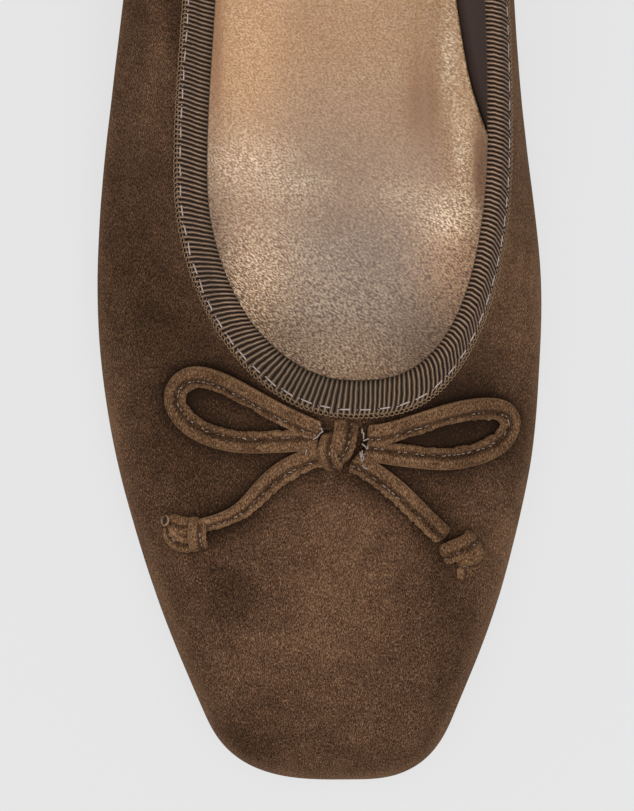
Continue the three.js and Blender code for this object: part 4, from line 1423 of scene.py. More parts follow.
@dataclass
class Binding:
    """Grosgrain ribbon folded over the topline, sewn through near its edges."""

    last: Last
    palette: Palette
    surface: LastedSurface
    width: float = 5.6
    gap: float = 0.3
    ribbon: float = 0.6
    rise: float = 1.1
    column_shares: tuple[float, ...] = (1, 0.9, 0.78, 0.66, 0.53, 0.41, 0.29, 0.17, 0.07)
    fold_angles: tuple[float, ...] = (18, 42, 66, 90, 114, 138, 162)
    rib_pitch: float = 0.88
    rib_height: float = 0.16
    samples_per_rib: int = 5
    rib_slope: float = 0.24
    rib_bend: float = 1.15
    bend_reach: float = 0.8
    rib_spread: float = 0.62
    selvage_fade: float = 0.35
    stitch: Thread = Thread(2.6, 0.3, 5)
    stitch_pitch: float = 3.5
    stitch_inset: float = 1.5
    stitch_sink: float = 0.16
    sink_reach: float = 0.35
    slack: float = 0.07
    hole: Thread = Thread(0.65, 0.5, 11)
    loop: Thread = Thread(1.08, 0.21, 9, 0.12)
    loop_inset: float = 0.28
    loop_lean: float = 0.35
    # Patches where the ribbon takes its darker copy, painted shade with a dimmer highlight: the throat and
    # the lateral side's inner half.
    dull: tuple[tuple[float, ...], ...] = ((0.0, 73.0, 24.0, 9.0, -1.0), (-20.2, 115.0, 2.2, 42.0, -0.75))

    def section(self) -> tuple[Array, Array]:
        """The ribbon's outer skin and its directions on each ray.

        Returns:
            Points and unit directions away from the wall, shape (n, k, 3).
        """
        level = self.surface.below_topline(np.array(self.column_shares) * self.width)
        wall, away = self.surface.points(level), self.surface.directions(level)
        depth = self.surface.thickness(level)[..., None]
        lift = self.gap + self.ribbon
        top = self.surface.points(np.array([2.0]))
        away_top = self.surface.directions(np.array([2.0]))
        rise = unit(top - self.surface.points(self.surface.below_topline(np.array([1.0]))))
        thick = self.surface.thickness(np.array([2.0]))[..., None]
        angles = np.radians(np.array(self.fold_angles))[None, :, None]
        crest = away_top * np.cos(angles) + rise * np.sin(angles)
        half = thick / 2 + lift
        middle = top - away_top * thick / 2
        round_top = middle + away_top * half * np.cos(angles) + rise * self.rise * np.sin(angles)
        inner = wall[:, ::-1] - away[:, ::-1] * (depth[:, ::-1] + lift)
        points = np.concatenate([wall + away * lift, round_top, inner], 1)
        return points, np.concatenate([away, crest, -away[:, ::-1]], 1)

    def woven(self) -> tuple[RibbonSkin, float, int]:
        """The skin with rows close enough for the ribs.

        Returns:
            The skin, the crest's length in mm and the number of ribs.
        """
        points, away = self.section()
        crest = points[:, points.shape[1] // 2]
        run = lengths(np.concatenate([crest, crest[:1]]))
        ribs = round(run[-1] / self.rib_pitch)
        count = ribs * self.samples_per_rib
        at = np.interp(np.arange(count) / count * run[-1], run, np.arange(len(run)))
        skin, out = resample(points, at), unit(resample(away, at))
        across = np.mean([lengths(row) for row in skin[:: max(1, count // 60)]], axis=0)
        return RibbonSkin(skin, out, across), run[-1], ribs

    def phases(self, skin: RibbonSkin) -> Array:
        """Where each point lies in the ribs, with their slope and their bend at the outer edge.

        Args:
            skin: The ribbon's surface.

        Returns:
            Ribs counted round the ring, shape (n, k).
        """
        crest = skin.points.shape[1] // 2
        x = skin.points[:, crest, 0]
        medial, lateral = smooth(4, 14, x)[:, None], smooth(4, 14, -x)[:, None]
        outward = skin.across < skin.across[crest]
        plan = np.linalg.norm(skin.points[..., :2] - skin.points[:, :1, :2], axis=-1)
        fall = (skin.across - skin.across[crest]) * np.where(outward, 1.1, -0.2) * medial
        fall = fall + 0.4 * (plan**1.7 - plan[:, crest : crest + 1] ** 1.7) * lateral
        edge = np.minimum(skin.across, skin.across[-1] - skin.across)
        bend = self.rib_bend * medial * np.exp(-edge / self.bend_reach) * outward
        straight = np.arange(len(x))[:, None] / self.samples_per_rib
        return straight + (self.rib_slope * fall - bend) / self.rib_pitch

    def build(self) -> list[Piece]:
        """Makes the ribbon, its stitches and its selvage.

        Returns:
            The pieces.
        """
        skin, around, ribs = self.woven()
        phase = self.phases(skin)
        edge = np.minimum(skin.across, skin.across[-1] - skin.across)
        wave = np.abs((phase % 1) - 0.5) * 2
        rib = 1 - smooth(0.0, self.rib_spread, wave)
        ridge = self.rib_height * rib * smooth(0.0, self.selvage_fade, edge)
        hollow = self.stitch_sink * np.exp(-(((edge - self.stitch_inset) / self.sink_reach) ** 2))
        outer = skin.points + skin.out * (ridge - hollow)[..., None]
        back = skin.points - skin.out * (self.ribbon - 0.05)
        back = back[:, [0, 2, 4, 6, 8, skin.points.shape[1] // 2, -9, -7, -5, -3, -1]]
        rows = np.concatenate([outer, back[:, ::-1]], 1)
        faces = grid_faces(len(rows), rows.shape[1], True, True)
        item = mesh_object("topline_binding_ribbon", to_frame(rows.reshape(-1, 3), self.last), faces)
        self.write_map(item, rows.shape[1], phase, skin.across, ribs)
        paint(item, self.last, self.dull, 1.0)
        dress(item, [self.palette.grosgrain], ["topline_binding"])
        pitches = round(around / self.stitch_pitch)
        insets = {"outer": self.stitch_inset, "inner": skin.across[-1] - self.stitch_inset}
        rows = [self.stitches(name, inset, pitches, skin) for name, inset in insets.items()]
        return [item, *rows, self.holes(pitches, skin), self.selvage(ribs, skin)]

    def write_map(self, item: Piece, columns: int, phase: Array, across: Array, ribs: int) -> None:
        """Writes the ribbon's map: ribs round the ring and mm across.

        Args:
            item: The ribbon, whose vertices are numbered row by row.
            columns: Vertices in a row.
            phase: Ribs round the ring for the skin's points.
            across: Distance of the skin's columns across.
            ribs: How many ribs go round.
        """
        mesh = item.data
        corner = np.zeros(len(mesh.loops), int)
        mesh.loops.foreach_get("vertex_index", corner)
        row, column = corner // columns, corner % columns
        inside = column < phase.shape[1]
        u = np.where(inside, phase[row, np.clip(column, 0, phase.shape[1] - 1)], 0.05)
        v = np.where(inside, across[np.clip(column, 0, len(across) - 1)], 0.0)
        highest = u.reshape(-1, 4).max(1)[:, None]
        u = u.reshape(-1, 4)
        u = np.where(u < highest - ribs / 2, u + ribs, u).ravel()
        layer = mesh.uv_layers.new(name="UVMap")
        layer.data.foreach_set("uv", np.stack([u, v], -1).ravel())

    def stitches(self, name: str, inset: float, count: int, skin: RibbonSkin) -> Piece:
        """One row of stitches.

        Args:
            name: Which row.
            inset: Its distance across the ribbon, in mm.
            count: How many stitches.
            skin: The ribbon's surface.

        Returns:
            The piece.
        """
        places, tangents, normals = skin.line(inset, count)
        rng = np.random.default_rng(17)
        slack = tangents + np.cross(normals, tangents) * rng.normal(0.0, self.slack, (count, 1))
        rows = to_frame(places - normals * 0.02, self.last), slack, normals
        name = f"binding_stitches_{name}"
        return self.palette.row.lay(name, rows, self.stitch, self.palette.thread, "grosgrain")

    def holes(self, count: int, skin: RibbonSkin) -> Piece:
        """Dark capsules between the outer stitches, painted shadow in the needle holes.

        Args:
            count: How many stitches there are.
            skin: The ribbon's surface.

        Returns:
            The piece.
        """
        places, tangents, normals = (line[1::2] for line in skin.line(self.stitch_inset, 2 * count))
        rows = to_frame(places - normals * 0.1, self.last), tangents, normals
        return self.palette.row.lay(
            "binding_needle_holes", rows, self.hole, self.palette.shadow, "grosgrain"
        )

    def selvage(self, ribs: int, skin: RibbonSkin) -> Piece:
        """Small loops of weft at the ribbon's outer edge, one for each rib.

        Args:
            ribs: How many ribs go round.
            skin: The ribbon's surface.

        Returns:
            The piece.
        """
        places, tangents, normals = skin.line(self.loop_inset, ribs)
        leaning = unit(normals + self.loop_lean * tangents)
        rows = to_frame(places + normals * 0.06, self.last), leaning, tangents
        return self.palette.loops.lay(
            "binding_selvage_loops", rows, self.loop, self.palette.fringe, "grosgrain"
        )


@dataclass
class Insole:
    """The padded sock: a plate fitted inside the upper, dished up to its rim and softly trodden.

    The trough, ridge and swell are a height or depth, a place and a half width. The first two lie along the
    medial side of the waist and the third across the shoe behind the tread.
    """

    last: Last
    palette: Palette
    surface: LastedSurface
    heights: tuple[float, ...] = (0.3, 1.2, 2.4, 3.6, 4.8, 5.6, 6.0)
    strips: int = 90
    side_gap: float = 0.345
    arch_gap: float = 3
    wall_samples: int = 161
    wall_rising: int = 110
    trough: tuple[float, float, float] = (-0.5, 19.5, 2.6)
    ridge: tuple[float, float, float] = (0.45, 25.5, 1.6)
    swell: tuple[float, float, float] = (0.3, 110, 9)
    unevenness: float = 0.06
    calm_edge: float = 0.08
    rim_width: float = 0.55
    rim_span: tuple[float, float] = (96, 188)
    # A painted highlight along the sock's free medial edge, as glints.
    rim_tone: float = 1.6
    base_tone: float = -0.1
    # The painted light outside the patches, and the painted highlight that the sock's steep edges add.
    base_bloom: float = -0.17
    rim_bloom: float = 0.5

    def rings(self) -> Array:
        """Rings of the plate's edge, following the inside of the wall at each height.

        Returns:
            X, along and height in mm, shape (heights, n, 3).
        """
        surface, last = self.surface, self.last
        levels = surface.spread(np.linspace(0, 2, self.wall_samples))
        inner = surface.points(levels) - surface.directions(levels) * surface.thickness(levels)[..., None]
        inner = inner[:, : self.wall_rising]
        above = inner[..., 2] - last.sole_top(inner[..., 1])
        rings = []
        for height in self.heights:
            wall = np.array([read_rows(height, climb, line[:, :2]) for climb, line in zip(above, inner)])
            plan = wall - surface.out[:, :2] * self.side_gap
            at = plan[:, 1] / last.length
            arch = smooth(0.41, 0.53, at) * (1 - smooth(0.68, 0.84, at)) * (plan[:, 0] > 0)
            plan -= surface.out[:, :2] * (self.arch_gap * arch)[:, None]
            rings.append(np.column_stack([plan, last.sole_top(plan[:, 1]) + height]))
        return np.stack(rings)

    def top(self, sheet: Array, share: Array) -> Array:
        """Height of the sock: dish, rim, a soft trough and the waist's swell.

        Args:
            sheet: Points of the upper face in mm.
            share: How far each lies across.

        Returns:
            Heights in mm.
        """
        last = self.last
        x, along = sheet[..., 0], sheet[..., 1]
        rise = last.insole_dish * np.abs(2 * share - 1) ** 3
        base = last.sole_top(along) + last.insole_thickness + rise
        depth, place, reach = self.trough
        trough = depth * np.exp(-(((x - place - (along - 128) * 0.05) / reach) ** 2))
        trough = trough * smooth(112, 122, along)
        height, place, reach = self.ridge
        ridge = height * np.exp(-(((x - place) / reach) ** 2))
        ridge = ridge * smooth(104, 116, along) * (1 - smooth(142, 152, along))
        height, place, reach = self.swell
        swell = height * np.exp(-(((along - place) / reach) ** 2))
        uneven = self.unevenness * ripple(sheet, 9, 8, 21)
        free = smooth(0, self.calm_edge, 0.5 - np.abs(share - 0.5))
        return base + (trough + ridge + swell + uneven) * free

    def rim(self, item: Piece) -> None:
        """Paints a highlight on the fine turned line along the free medial edge, by raising its glints.

        Args:
            item: The painted sock.
        """
        x, along = vertex_plan(item, self.last)
        start, end = self.rim_span
        step = 1.5
        bins = np.arange(start - 1, end + 2, step)
        edge = [x[np.abs(along - b) < step].max() for b in bins]
        near = (x > np.interp(along, bins, edge) - self.rim_width) & (along > start) & (along < end)
        add_tone(item, self.rim_tone * near)

    def build(self) -> list[Piece]:
        """Makes the sock.

        Returns:
            The piece.
        """
        last = self.last
        item = plate(
            "insole_leather",
            self.rings(),
            self.strips,
            lambda sheet: last.sole_top(sheet[..., 1]) + self.heights[0],
            self.top,
            last,
        )
        # Painted glints and shade in the tone, then painted light that lifts the shade near the walls.
        paint(item, last, SOCK_PAINTED_GLINTS_AND_SHADE, self.base_tone)
        paint(item, last, SOCK_PAINTED_LIGHT, self.base_bloom, self.rim_bloom, "bloom")
        self.rim(item)
        dress(item, [self.palette.kid], ["insole"])
        return [item]


@dataclass
class Outsole:
    """The moulded outsole, thin at its edge, with a rounded lower corner."""

    last: Last
    palette: Palette
    surface: LastedSurface
    strips: int = 40
    edge_round: float = 1.1
    edge_steps: int = 6
    top_edge: tuple[tuple[float, float], ...] = ((0.0, 0.35), (0.12, 0.1), (0.35, 0.0))

    def build(self) -> list[Piece]:
        """Makes the sole. Its edge is rounded below and slightly broken above.

        Returns:
            The piece.
        """
        last, surface = self.last, self.surface
        feather = surface.points(np.array([0.0]))[:, 0]
        turns = np.radians(np.linspace(0, 90, self.edge_steps))
        steps = [(self.edge_round * (1 - math.sin(t)), self.edge_round * (1 - math.cos(t))) for t in turns]
        steps += [(inset, last.outsole_thickness - depth) for inset, depth in self.top_edge]
        rings = []
        for inset, height in steps:
            ring = feather + surface.out * (last.sole_reveal - inset)
            ring[:, 2] = last.sole_underside(ring[:, 1]) + height
            rings.append(ring)
        item = plate(
            "outsole_rubber",
            np.stack(rings),
            self.strips,
            lambda sheet: last.sole_underside(sheet[..., 1]),
            lambda sheet, share: last.sole_top(sheet[..., 1]),
            last,
        )
        dress(item, [self.palette.sole], ["outsole"])
        return [item]


@dataclass
class Heel:
    """The covered block heel and its top piece, flared to the seat with a hollow breast."""

    last: Last
    palette: Palette
    top_length: float = 54
    foot_length: float = 45
    flare: float = 3.2
    inset: float = 0.6
    breast_hollow: float = 2.5
    top_piece: float = 5
    round_share: float = 0.86
    edge_round: float = 0.35
    rows: int = 26
    last_row: float = 0.985
    foot_edge: tuple[tuple[float, float], ...] = ((0.0, 0.6), (0.2, 0.15), (0.6, 0.0))
    side_points: int = 90
    side_crowding: float = 1.8
    breast_points: int = 30

    def ring(self, drop: float, shrink: float = 0) -> Array:
        """The heel's outline at a share of its height.

        Args:
            drop: 0 at the seat, 1 at the foot.
            shrink: How far inside the outline, in mm.

        Returns:
            Points in plan, x and along.
        """
        last = self.last
        tuck = last.half_ball * FEATHER.read("lateral", 1.0)
        back = last.length - tuck + last.sole_reveal - self.inset - self.flare * drop - shrink
        front = last.length - (self.top_length + (self.foot_length - self.top_length) * drop) + shrink
        eased = 1 - np.linspace(1, 0, self.side_points) ** self.side_crowding
        along = front + (back - front) * eased
        sides = {}
        for side in Side:
            at = np.full(len(along), (front + last.length - last.heel_reach) / 2 / last.length)
            tuck = last.half_ball * FEATHER.read(side.column, at)
            x = last.half_ball * OUTLINE.read(side.column, at) - tuck + last.sole_reveal - self.inset
            reach = last.heel_reach * self.round_share
            half = (x - self.flare * drop - shrink) * closing(back - along, reach, last.heel_power)
            sides[side] = np.stack([side.value * half, along], -1)
        medial = sides[Side.MEDIAL][::-1][1:]
        share = np.linspace(1, -1, self.breast_points + 2)[1:-1]
        width = sides[Side.MEDIAL][0, 0]
        x = np.where(share > 0, width * share, -sides[Side.LATERAL][0, 0] * share)
        breast = np.stack([x, front + self.breast_hollow * (1 - share**2)], -1)
        return np.concatenate([sides[Side.LATERAL], medial, breast])

    def solid(self, name: str, rings: Sequence[Array], tops: Sequence[Callable[[Array], Array]]) -> Piece:
        """A closed solid from rings, with fans as its ends.

        Args:
            name: The piece's name.
            rings: Outlines in plan, from the top down.
            tops: For each ring, its height from the distances along.

        Returns:
            The object.
        """
        rows = []
        for ring, height in zip(rings, tops):
            rows.append(np.column_stack([ring, height(ring[:, 1])]))
        ends = []
        for row in (rows[0], rows[-1]):
            middle = (row.min(0) + row.max(0)) / 2
            middle[2] = row[:, 2].mean()
            ends.append(middle)
        points = to_frame(np.concatenate([*rows, np.array(ends)]), self.last)
        return merged(mesh_object(name, points, capped_faces(len(rows), len(rows[0]))))

    def build(self) -> list[Piece]:
        """Makes the block and the top piece.

        Returns:
            The pieces.
        """
        last, gap, soft = self.last, self.last.clearance, self.edge_round
        drops = np.linspace(0, 1, self.rows)
        joint = self.top_piece + gap
        block = self.solid(
            "heel_block_suede",
            [self.ring(d) for d in drops] + [self.ring(1.0, soft)],
            [
                lambda along, d=d: (last.sole_underside(along) - gap) * (1 - d) + joint * d
                for d in np.concatenate([drops * self.last_row, [1.0]])
            ],
        )
        dress(block, [self.palette.heel], ["heel_block"])
        levels = [(soft, self.top_piece), (0.0, self.top_piece - soft), *self.foot_edge]
        foot = self.solid(
            "heel_top_piece_rubber",
            [self.ring(1.0, inset) for inset, _ in levels],
            [lambda along, h=h: np.full(len(along), h) for _, h in levels],
        )
        dress(foot, [self.palette.rubber], ["heel_top_piece"])
        return [block, foot]


@dataclass(frozen=True)
class Turn:
    """One strip wound over a knot.

    The rows are points from the knot's middle: across, to the heel and up, in mm. The flange gives the side
    its raw edge faces, and the hub how far below the middle the strip's section points away from.
    """

    name: str
    rows: tuple[tuple[float, float, float], ...]
    flange: tuple[float, float]
    scale: float
    hub: float = 1.0


MIDDLE_TURNS = (
    Turn(
        "right",
        (
            (1.5, 4.6, 0.6), (1.5, 3.6, 2.3), (1.4, 2.3, 3.3), (0.9, 0.4, 3.7), (-0.2, -1.0, 3.2),
            (-1.5, -2.1, 2.0),
        ),
        (1.0, 0.2),
        1.08,
    ),
    Turn(
        "left",
        (
            (-1.2, 2.5, 1.5), (-1.7, 1.3, 3.0), (-1.95, 0.0, 3.9), (-1.8, -1.5, 3.9), (-1.3, -3.1, 2.7),
            (-0.8, -4.1, 0.9),
        ),
        (1.0, 0.2),
        0.86,
    ),
)
END_TURNS = {
    Side.LATERAL: (
        Turn(
            "lobe",
            ((1.4, -2.3, 0.9), (0.0, -2.3, 2.0), (-1.8, -1.7, 2.3), (-3.1, -0.3, 2.2), (-3.5, 1.2, 1.7)),
            (0.5, 1.0),
            0.72,
        ),
        Turn(
            "end",
            ((1.2, 1.2, 1.5), (0.0, 1.4, 2.4), (-1.5, 1.8, 2.7), (-3.0, 2.2, 2.5)),
            (0.4, -1.0),
            0.78,
            3.0,
        ),
        Turn(
            "band",
            ((2.1, 2.6, 0.5), (2.7, 1.6, 2.2), (2.95, -0.3, 3.1), (2.7, -2.0, 2.3), (2.1, -3.1, 0.6)),
            (1.0, 0.0),
            0.82,
        ),
    ),
    Side.MEDIAL: (
        Turn(
            "lobe",
            (
                (2.0, 1.7, 0.9), (2.8, 0.3, 1.9), (2.4, -1.1, 2.2), (1.1, -1.9, 2.2), (-0.4, -2.1, 1.5),
                (-1.3, -2.3, 0.7),
            ),
            (0.6, -1.0),
            0.8,
        ),
        Turn(
            "band",
            (
                (-4.5, -0.8, 0.4), (-3.4, 0.1, 2.1), (-2.0, 0.9, 3.0), (-0.4, 1.7, 3.2), (0.9, 2.3, 2.4),
                (1.7, 2.8, 0.9),
            ),
            (0.6, -1.0),
            0.98,
        ),
        Turn("tuft", ((-0.3, -2.6, 1.2), (0.0, -3.9, 1.0), (0.2, -5.1, 0.5)), (1.0, -0.2), 0.58, 4.0),
        Turn("wisp", ((1.6, -3.0, 1.0), (2.2, -3.8, 0.8), (2.8, -4.4, 0.5)), (1.0, -0.2), 0.34, 4.0),
    ),
}


@dataclass(frozen=True)
class Strip:
    """Stitched suede cord: a rolled edge with a raw flange beside it.

    The flange's outline is given from the strip's outer edge and its underside. The tones go once round the
    section: painted shade in the groove, a painted highlight along the roll's far side, and pale at the raw
    edge.
    """

    width: float = 4.1
    height: float = 2.2
    flange: float = 1.45
    flange_outline: tuple[tuple[float, float], ...] = (
        (-0.9, 0.1), (-0.15, 0.2), (0.0, 0.7), (-0.05, 1.3), (-0.3, 1.65), (-0.8, 1.78), (-1.3, 1.45),
    )
    roll_span: tuple[float, float] = (28, 322)
    # Painted shade at the groove, a painted highlight along the roll's far side.
    roll_tones: tuple[float, ...] = (-0.7, -0.7, -0.3, *[0.1] * 6, *[0.7] * 4, *[0.1] * 9)
    flange_tones: tuple[float, ...] = (0.0, 0.5, 0.9, 0.6, 0.2, 0.0, -0.8)
    rounded_end: float = 0.8
    raggedness: float = 0.06
    wander: float = 0.09
    stitch: Thread = Thread(0.62, 0.19, 3, 0.4)
    stitch_pitch: float = 1.15
    stitches_seen: float = 0.68
    stitch_height: float = 0.5
    groove: float = 0.12
    step: float = 0.3

    def section(self) -> Array:
        """Its outline, the flange on the positive side.

        Returns:
            Positions across and up, in mm.
        """
        roll = self.width - self.flange
        turns = np.radians(np.linspace(*self.roll_span, len(self.roll_tones)))
        middle = (roll - self.width) / 2
        tube = np.stack([middle + roll / 2 * np.cos(turns), self.height / 2 * np.sin(turns)], -1)
        return np.concatenate([tube, np.array(self.flange_outline) + [self.width / 2, -self.height / 2]])

    def even(self, dense: Array, *others: Array) -> list[Array]:
        """Reads a dense line, and what goes with it, at the strip's even steps.

        Args:
            dense: Points along the line.
            others: Further rows, one for each point.

        Returns:
            The same at even steps.
        """
        run = lengths(dense)
        at = np.linspace(0, run[-1], max(8, round(run[-1] / self.step)))
        return [read_rows(at, run, rows) for rows in (dense, *others)]


# Tacking threads beside the middle knot, each from one place to another, in mm from the knot's middle.
TACKS = (
    (-3.3, 4.8, -2.7, 3.1), (-2.7, 3.1, -4.05, 1.6), (-5.8, 0.7, -5.2, 0.4), (-5.4, -0.2, -5.5, -1.2),
    (4.2, 3.6, 4.65, 2.1), (4.45, 1.6, 5.3, 1.8), (4.3, 0.9, 5.0, -0.1), (5.0, -0.1, 5.2, 0.6),
    (3.85, -0.6, 4.2, -2.5), (4.15, -0.5, 4.5, -2.1), (4.2, -3.3, 5.2, -3.9), (4.75, -1.05, 6.2, -0.9),
)


@dataclass
class Course:
    """How a strip runs.

    It has points in mm, directions away from the vamp, points that the flange faces and the section's size,
    one for all points or one for each.
    """

    path: Array
    ups: Array
    towards: Array
    scale: float | Array = 1.0

    @property
    def size(self) -> Array:
        """The section's size at each point, as a column."""
        return np.broadcast_to(np.asarray(self.scale, float), (len(self.path),))[:, None]

    def frames(self) -> tuple[Array, Array, Array]:
        """Directions along it.

        Returns:
            Tangent, across (to the flange) and up at each point.
        """
        tangent = unit(np.gradient(self.path, axis=0))
        across = unit(np.cross(self.ups, tangent))
        if np.mean(np.einsum("ij,ij->i", across, self.towards - self.path)) < 0:
            across = -across
        return tangent, across, unit(self.ups)


@dataclass
class Bow:
    """The bow: two loops and two tails of suede cord, tied in the middle and knotted at the ends."""

    last: Last
    palette: Palette
    upper: Upper
    strip: Strip = Strip()
    centre: float = 3.5
    along: float = 62.1
    edge_margin: float = 6
    lift: float = 1.45
    shadow: float = 0.26
    reach: float = 3.0
    knot_body: tuple[float, float, float] = (2.7, 3.3, 1.6)
    knot_height: float = 1.9
    end_body: tuple[float, float, float] = (2.5, 2.3, 1.2)
    end_height: float = 1.5
    thinning: dict[Side, float] = field(default_factory=lambda: {Side.LATERAL: 0.36, Side.MEDIAL: 0.05})
    end_spots: dict[Side, tuple[float, float]] = field(
        default_factory=lambda: {Side.LATERAL: (0.919, -0.54), Side.MEDIAL: (0.752, -0.657)}
    )
    tube_end: tuple[float, float, float] = (-3.3, 2.3, 2.75)
    tube_facing: tuple[float, float, float] = (-0.55, 0.3, 1.0)
    tube_hollow: tuple[float, float, float] = (0.6, 0.95, 0.35)
    tube_rim: Thread = Thread(2.2, 0.5, 1, 0.0)
    tack: Thread = Thread(0.8, 0.27, 2, 0.2)
    tack_pitch: float = 0.55
    tack_height: float = 1.15

    @property
    def span(self) -> float:
        """Half the bow's width, from its middle to the margin inside the shoe's edge."""
        edge = self.last.outline(Side.MEDIAL, np.array([self.along]))[0, 0]
        return edge - self.centre - self.edge_margin

    def plan(self, side: Side, out: float | Array, back: float | Array) -> tuple[Array, Array]:
        """Turns the bow's shares into plan positions in mm."""
        x = self.centre + side.value * self.span * np.asarray(out)
        return np.atleast_1d(x), np.atleast_1d(self.along + self.span * np.asarray(back))

    def path(self, side: Side, rows: Sequence[Sequence[float]]) -> tuple[Array, Array]:
        """A smooth path over the vamp.

        Args:
            side: Which side.
            rows: The path's table.

        Returns:
            Points in mm and the vamp's normals beneath them.
        """
        table = np.array(rows)
        places, normals = self.upper.on_vamp(*self.plan(side, table[:, 0], table[:, 1]))
        spots = places + normals * (self.lift + self.span * table[:, 2])[:, None]
        chords = np.sqrt(np.linalg.norm(np.diff(spots, axis=0), axis=1))
        at = np.concatenate([[0], np.cumsum(chords)])
        curve = Table("at x y z i j k", np.column_stack([at, spots, normals]))
        fine = np.linspace(0, at[-1], 900)
        dense, ups = (np.stack([curve.read(c, fine) for c in columns], -1) for columns in ("xyz", "ijk"))
        path, ups = self.strip.even(dense, ups)
        return path, unit(ups)

    def sweep(self, name: str, course: Course) -> Piece:
        """Sweeps the strip along a course.

        Args:
            name: The piece's name, whose length fixes the unevenness of the raw edge.
            course: Where it runs.

        Returns:
            The object.
        """
        strip, path, size = self.strip, course.path, course.size
        section = strip.section()
        _, across, up = course.frames()
        count = len(path)
        run = lengths(path)
        end = np.minimum(run, run[-1] - run)
        taper = np.sqrt(np.clip(1 - (1 - np.clip(end / strip.rounded_end, 0, 1)) ** 2, 0.02, 1))
        rng = np.random.default_rng(len(name))
        wander = np.interp(run, np.linspace(0, run[-1], 60), rng.normal(0, strip.wander, 60))
        w, h = section[:, 0][None, :], section[:, 1][None, :]
        ragged = smooth(0.9, 1.7, w) * (rng.normal(0, strip.raggedness, (count, 1)) + wander[:, None])
        w = (w + ragged) * taper[:, None] * size
        h = h * taper[:, None] * (1 + 0.05 * wander[:, None]) * size**0.6
        points = path[:, None, :] + across[:, None, :] * w[..., None] + up[:, None, :] * h[..., None]
        k = len(section)
        faces = grid_faces(count, k, False, True).tolist()
        faces += [list(range(k)), list(range((count - 1) * k, count * k))[::-1]]
        return mesh_object(name, to_frame(points.reshape(-1, 3), self.last), faces)

    def stitches(self, name: str, course: Course) -> Piece:
        """A row of stitches in the groove between roll and flange. Some are hidden in the nap.

        Args:
            name: The piece's name.
            course: Where the strip runs.

        Returns:
            The piece.
        """
        strip, path, size = self.strip, course.path, course.size
        tangent, across, up = course.frames()
        run = lengths(path)
        rng = np.random.default_rng(len(name) + 40)
        at = np.arange(0.8, run[-1] - 0.8, strip.stitch_pitch)
        at = at[rng.random(len(at)) < strip.stitches_seen]
        at = at + rng.normal(0, 0.09, len(at))
        groove = strip.width / 2 - strip.flange + strip.groove
        line = path + across * groove * size + up * strip.stitch_height * size**0.6
        places, heading, normal = (read_rows(at, run, rows) for rows in (line, tangent, up))
        aside = np.cross(heading, normal)
        places = places + aside * rng.normal(0, 0.08, (len(at), 1))
        places = places - normal * rng.uniform(0.0, 0.2, (len(at), 1))
        heading = heading + aside * rng.normal(0, 0.18, (len(at), 1))
        rows = to_frame(places, self.last), heading, normal
        return self.palette.row.lay(name, rows, strip.stitch, self.palette.bow_thread, "bow_suede")

    def strand(self, name: str, course: Course, nodes: Sequence[str] = ()) -> list[Piece]:
        """A strip with its stitches.

        Args:
            name: The piece's name.
            course: Where it runs.
            nodes: The solids it replaces.

        Returns:
            The pieces.
        """
        item = self.sweep(name, course)
        tones = self.strip.roll_tones + self.strip.flange_tones
        write_attribute(item, "tone", np.tile(tones, len(course.path)))
        dress(item, [self.palette.cord], nodes)
        return [item, self.stitches(name + "_stitches", course)]

    def knotted(self, name: str, spot: Array, normal: Array, turns: Sequence[Turn]) -> list[Piece]:
        """The strips that are wound over a knot.

        Args:
            name: The knot's name.
            spot: Its middle on the vamp, in mm.
            normal: The vamp's normal there.
            turns: The strips.

        Returns:
            The pieces.
        """
        items = []
        side = unit(np.cross(np.array([0.0, 1.0, 0.0]), normal))
        axes = np.stack([side, np.cross(normal, side), normal])
        for turn in turns:
            spots = spot + np.array(turn.rows) @ axes
            chords = np.sqrt(np.linalg.norm(np.diff(spots, axis=0), axis=1))
            at = np.concatenate([[0], np.cumsum(chords)])
            curve = Table("at x y z", np.column_stack([at, spots]))
            dense = np.stack([curve.read(c, np.linspace(0, at[-1], 400)) for c in "xyz"], -1)
            (path,) = self.strip.even(dense)
            ups = unit(unit(path - (spot - normal * turn.hub)) + 0.35 * normal)
            face = path + (np.array([*turn.flange, 0.0]) @ axes) * 30
            items += self.strand(f"{name}_{turn.name}", Course(path, ups, face, turn.scale))
        return items

    def pebble(self, name: str, spot: Array, normal: Array, radii: tuple[float, float, float]) -> Piece:
        """A soft rounded body, such as lies under the wraps.

        Args:
            name: The piece's name.
            spot: Its middle, in mm.
            normal: Its third axis.
            radii: Half sizes across, to the toe and along the normal, in mm.

        Returns:
            The object.
        """
        ahead = unit(np.cross(np.cross(normal, np.array([0.0, 1.0, 0.0])), normal))
        aside = np.cross(ahead, normal)
        around, rings = 48, 24
        u = np.linspace(0, 2 * np.pi, around + 1)[:-1]
        v = np.linspace(-np.pi / 2, np.pi / 2, rings + 2)[1:-1]
        uu, vv = np.meshgrid(u, v)
        local = np.stack([np.cos(vv) * np.cos(uu), np.cos(vv) * np.sin(uu), np.sin(vv)], -1)
        local = np.sign(local) * np.abs(local) ** np.array([0.9, 0.9, 0.8])
        local = local * (1 + 0.03 * ripple(local * 10, 6, 6, 4))[..., None]
        axes = np.stack([aside, ahead, normal])
        points = spot + (local * np.array(radii)) @ axes
        low, high = spot - normal * radii[2], spot + normal * radii[2]
        cloud = np.concatenate([points.reshape(-1, 3), [low], [high]])
        return mesh_object(name, to_frame(cloud, self.last), capped_faces(rings, around))

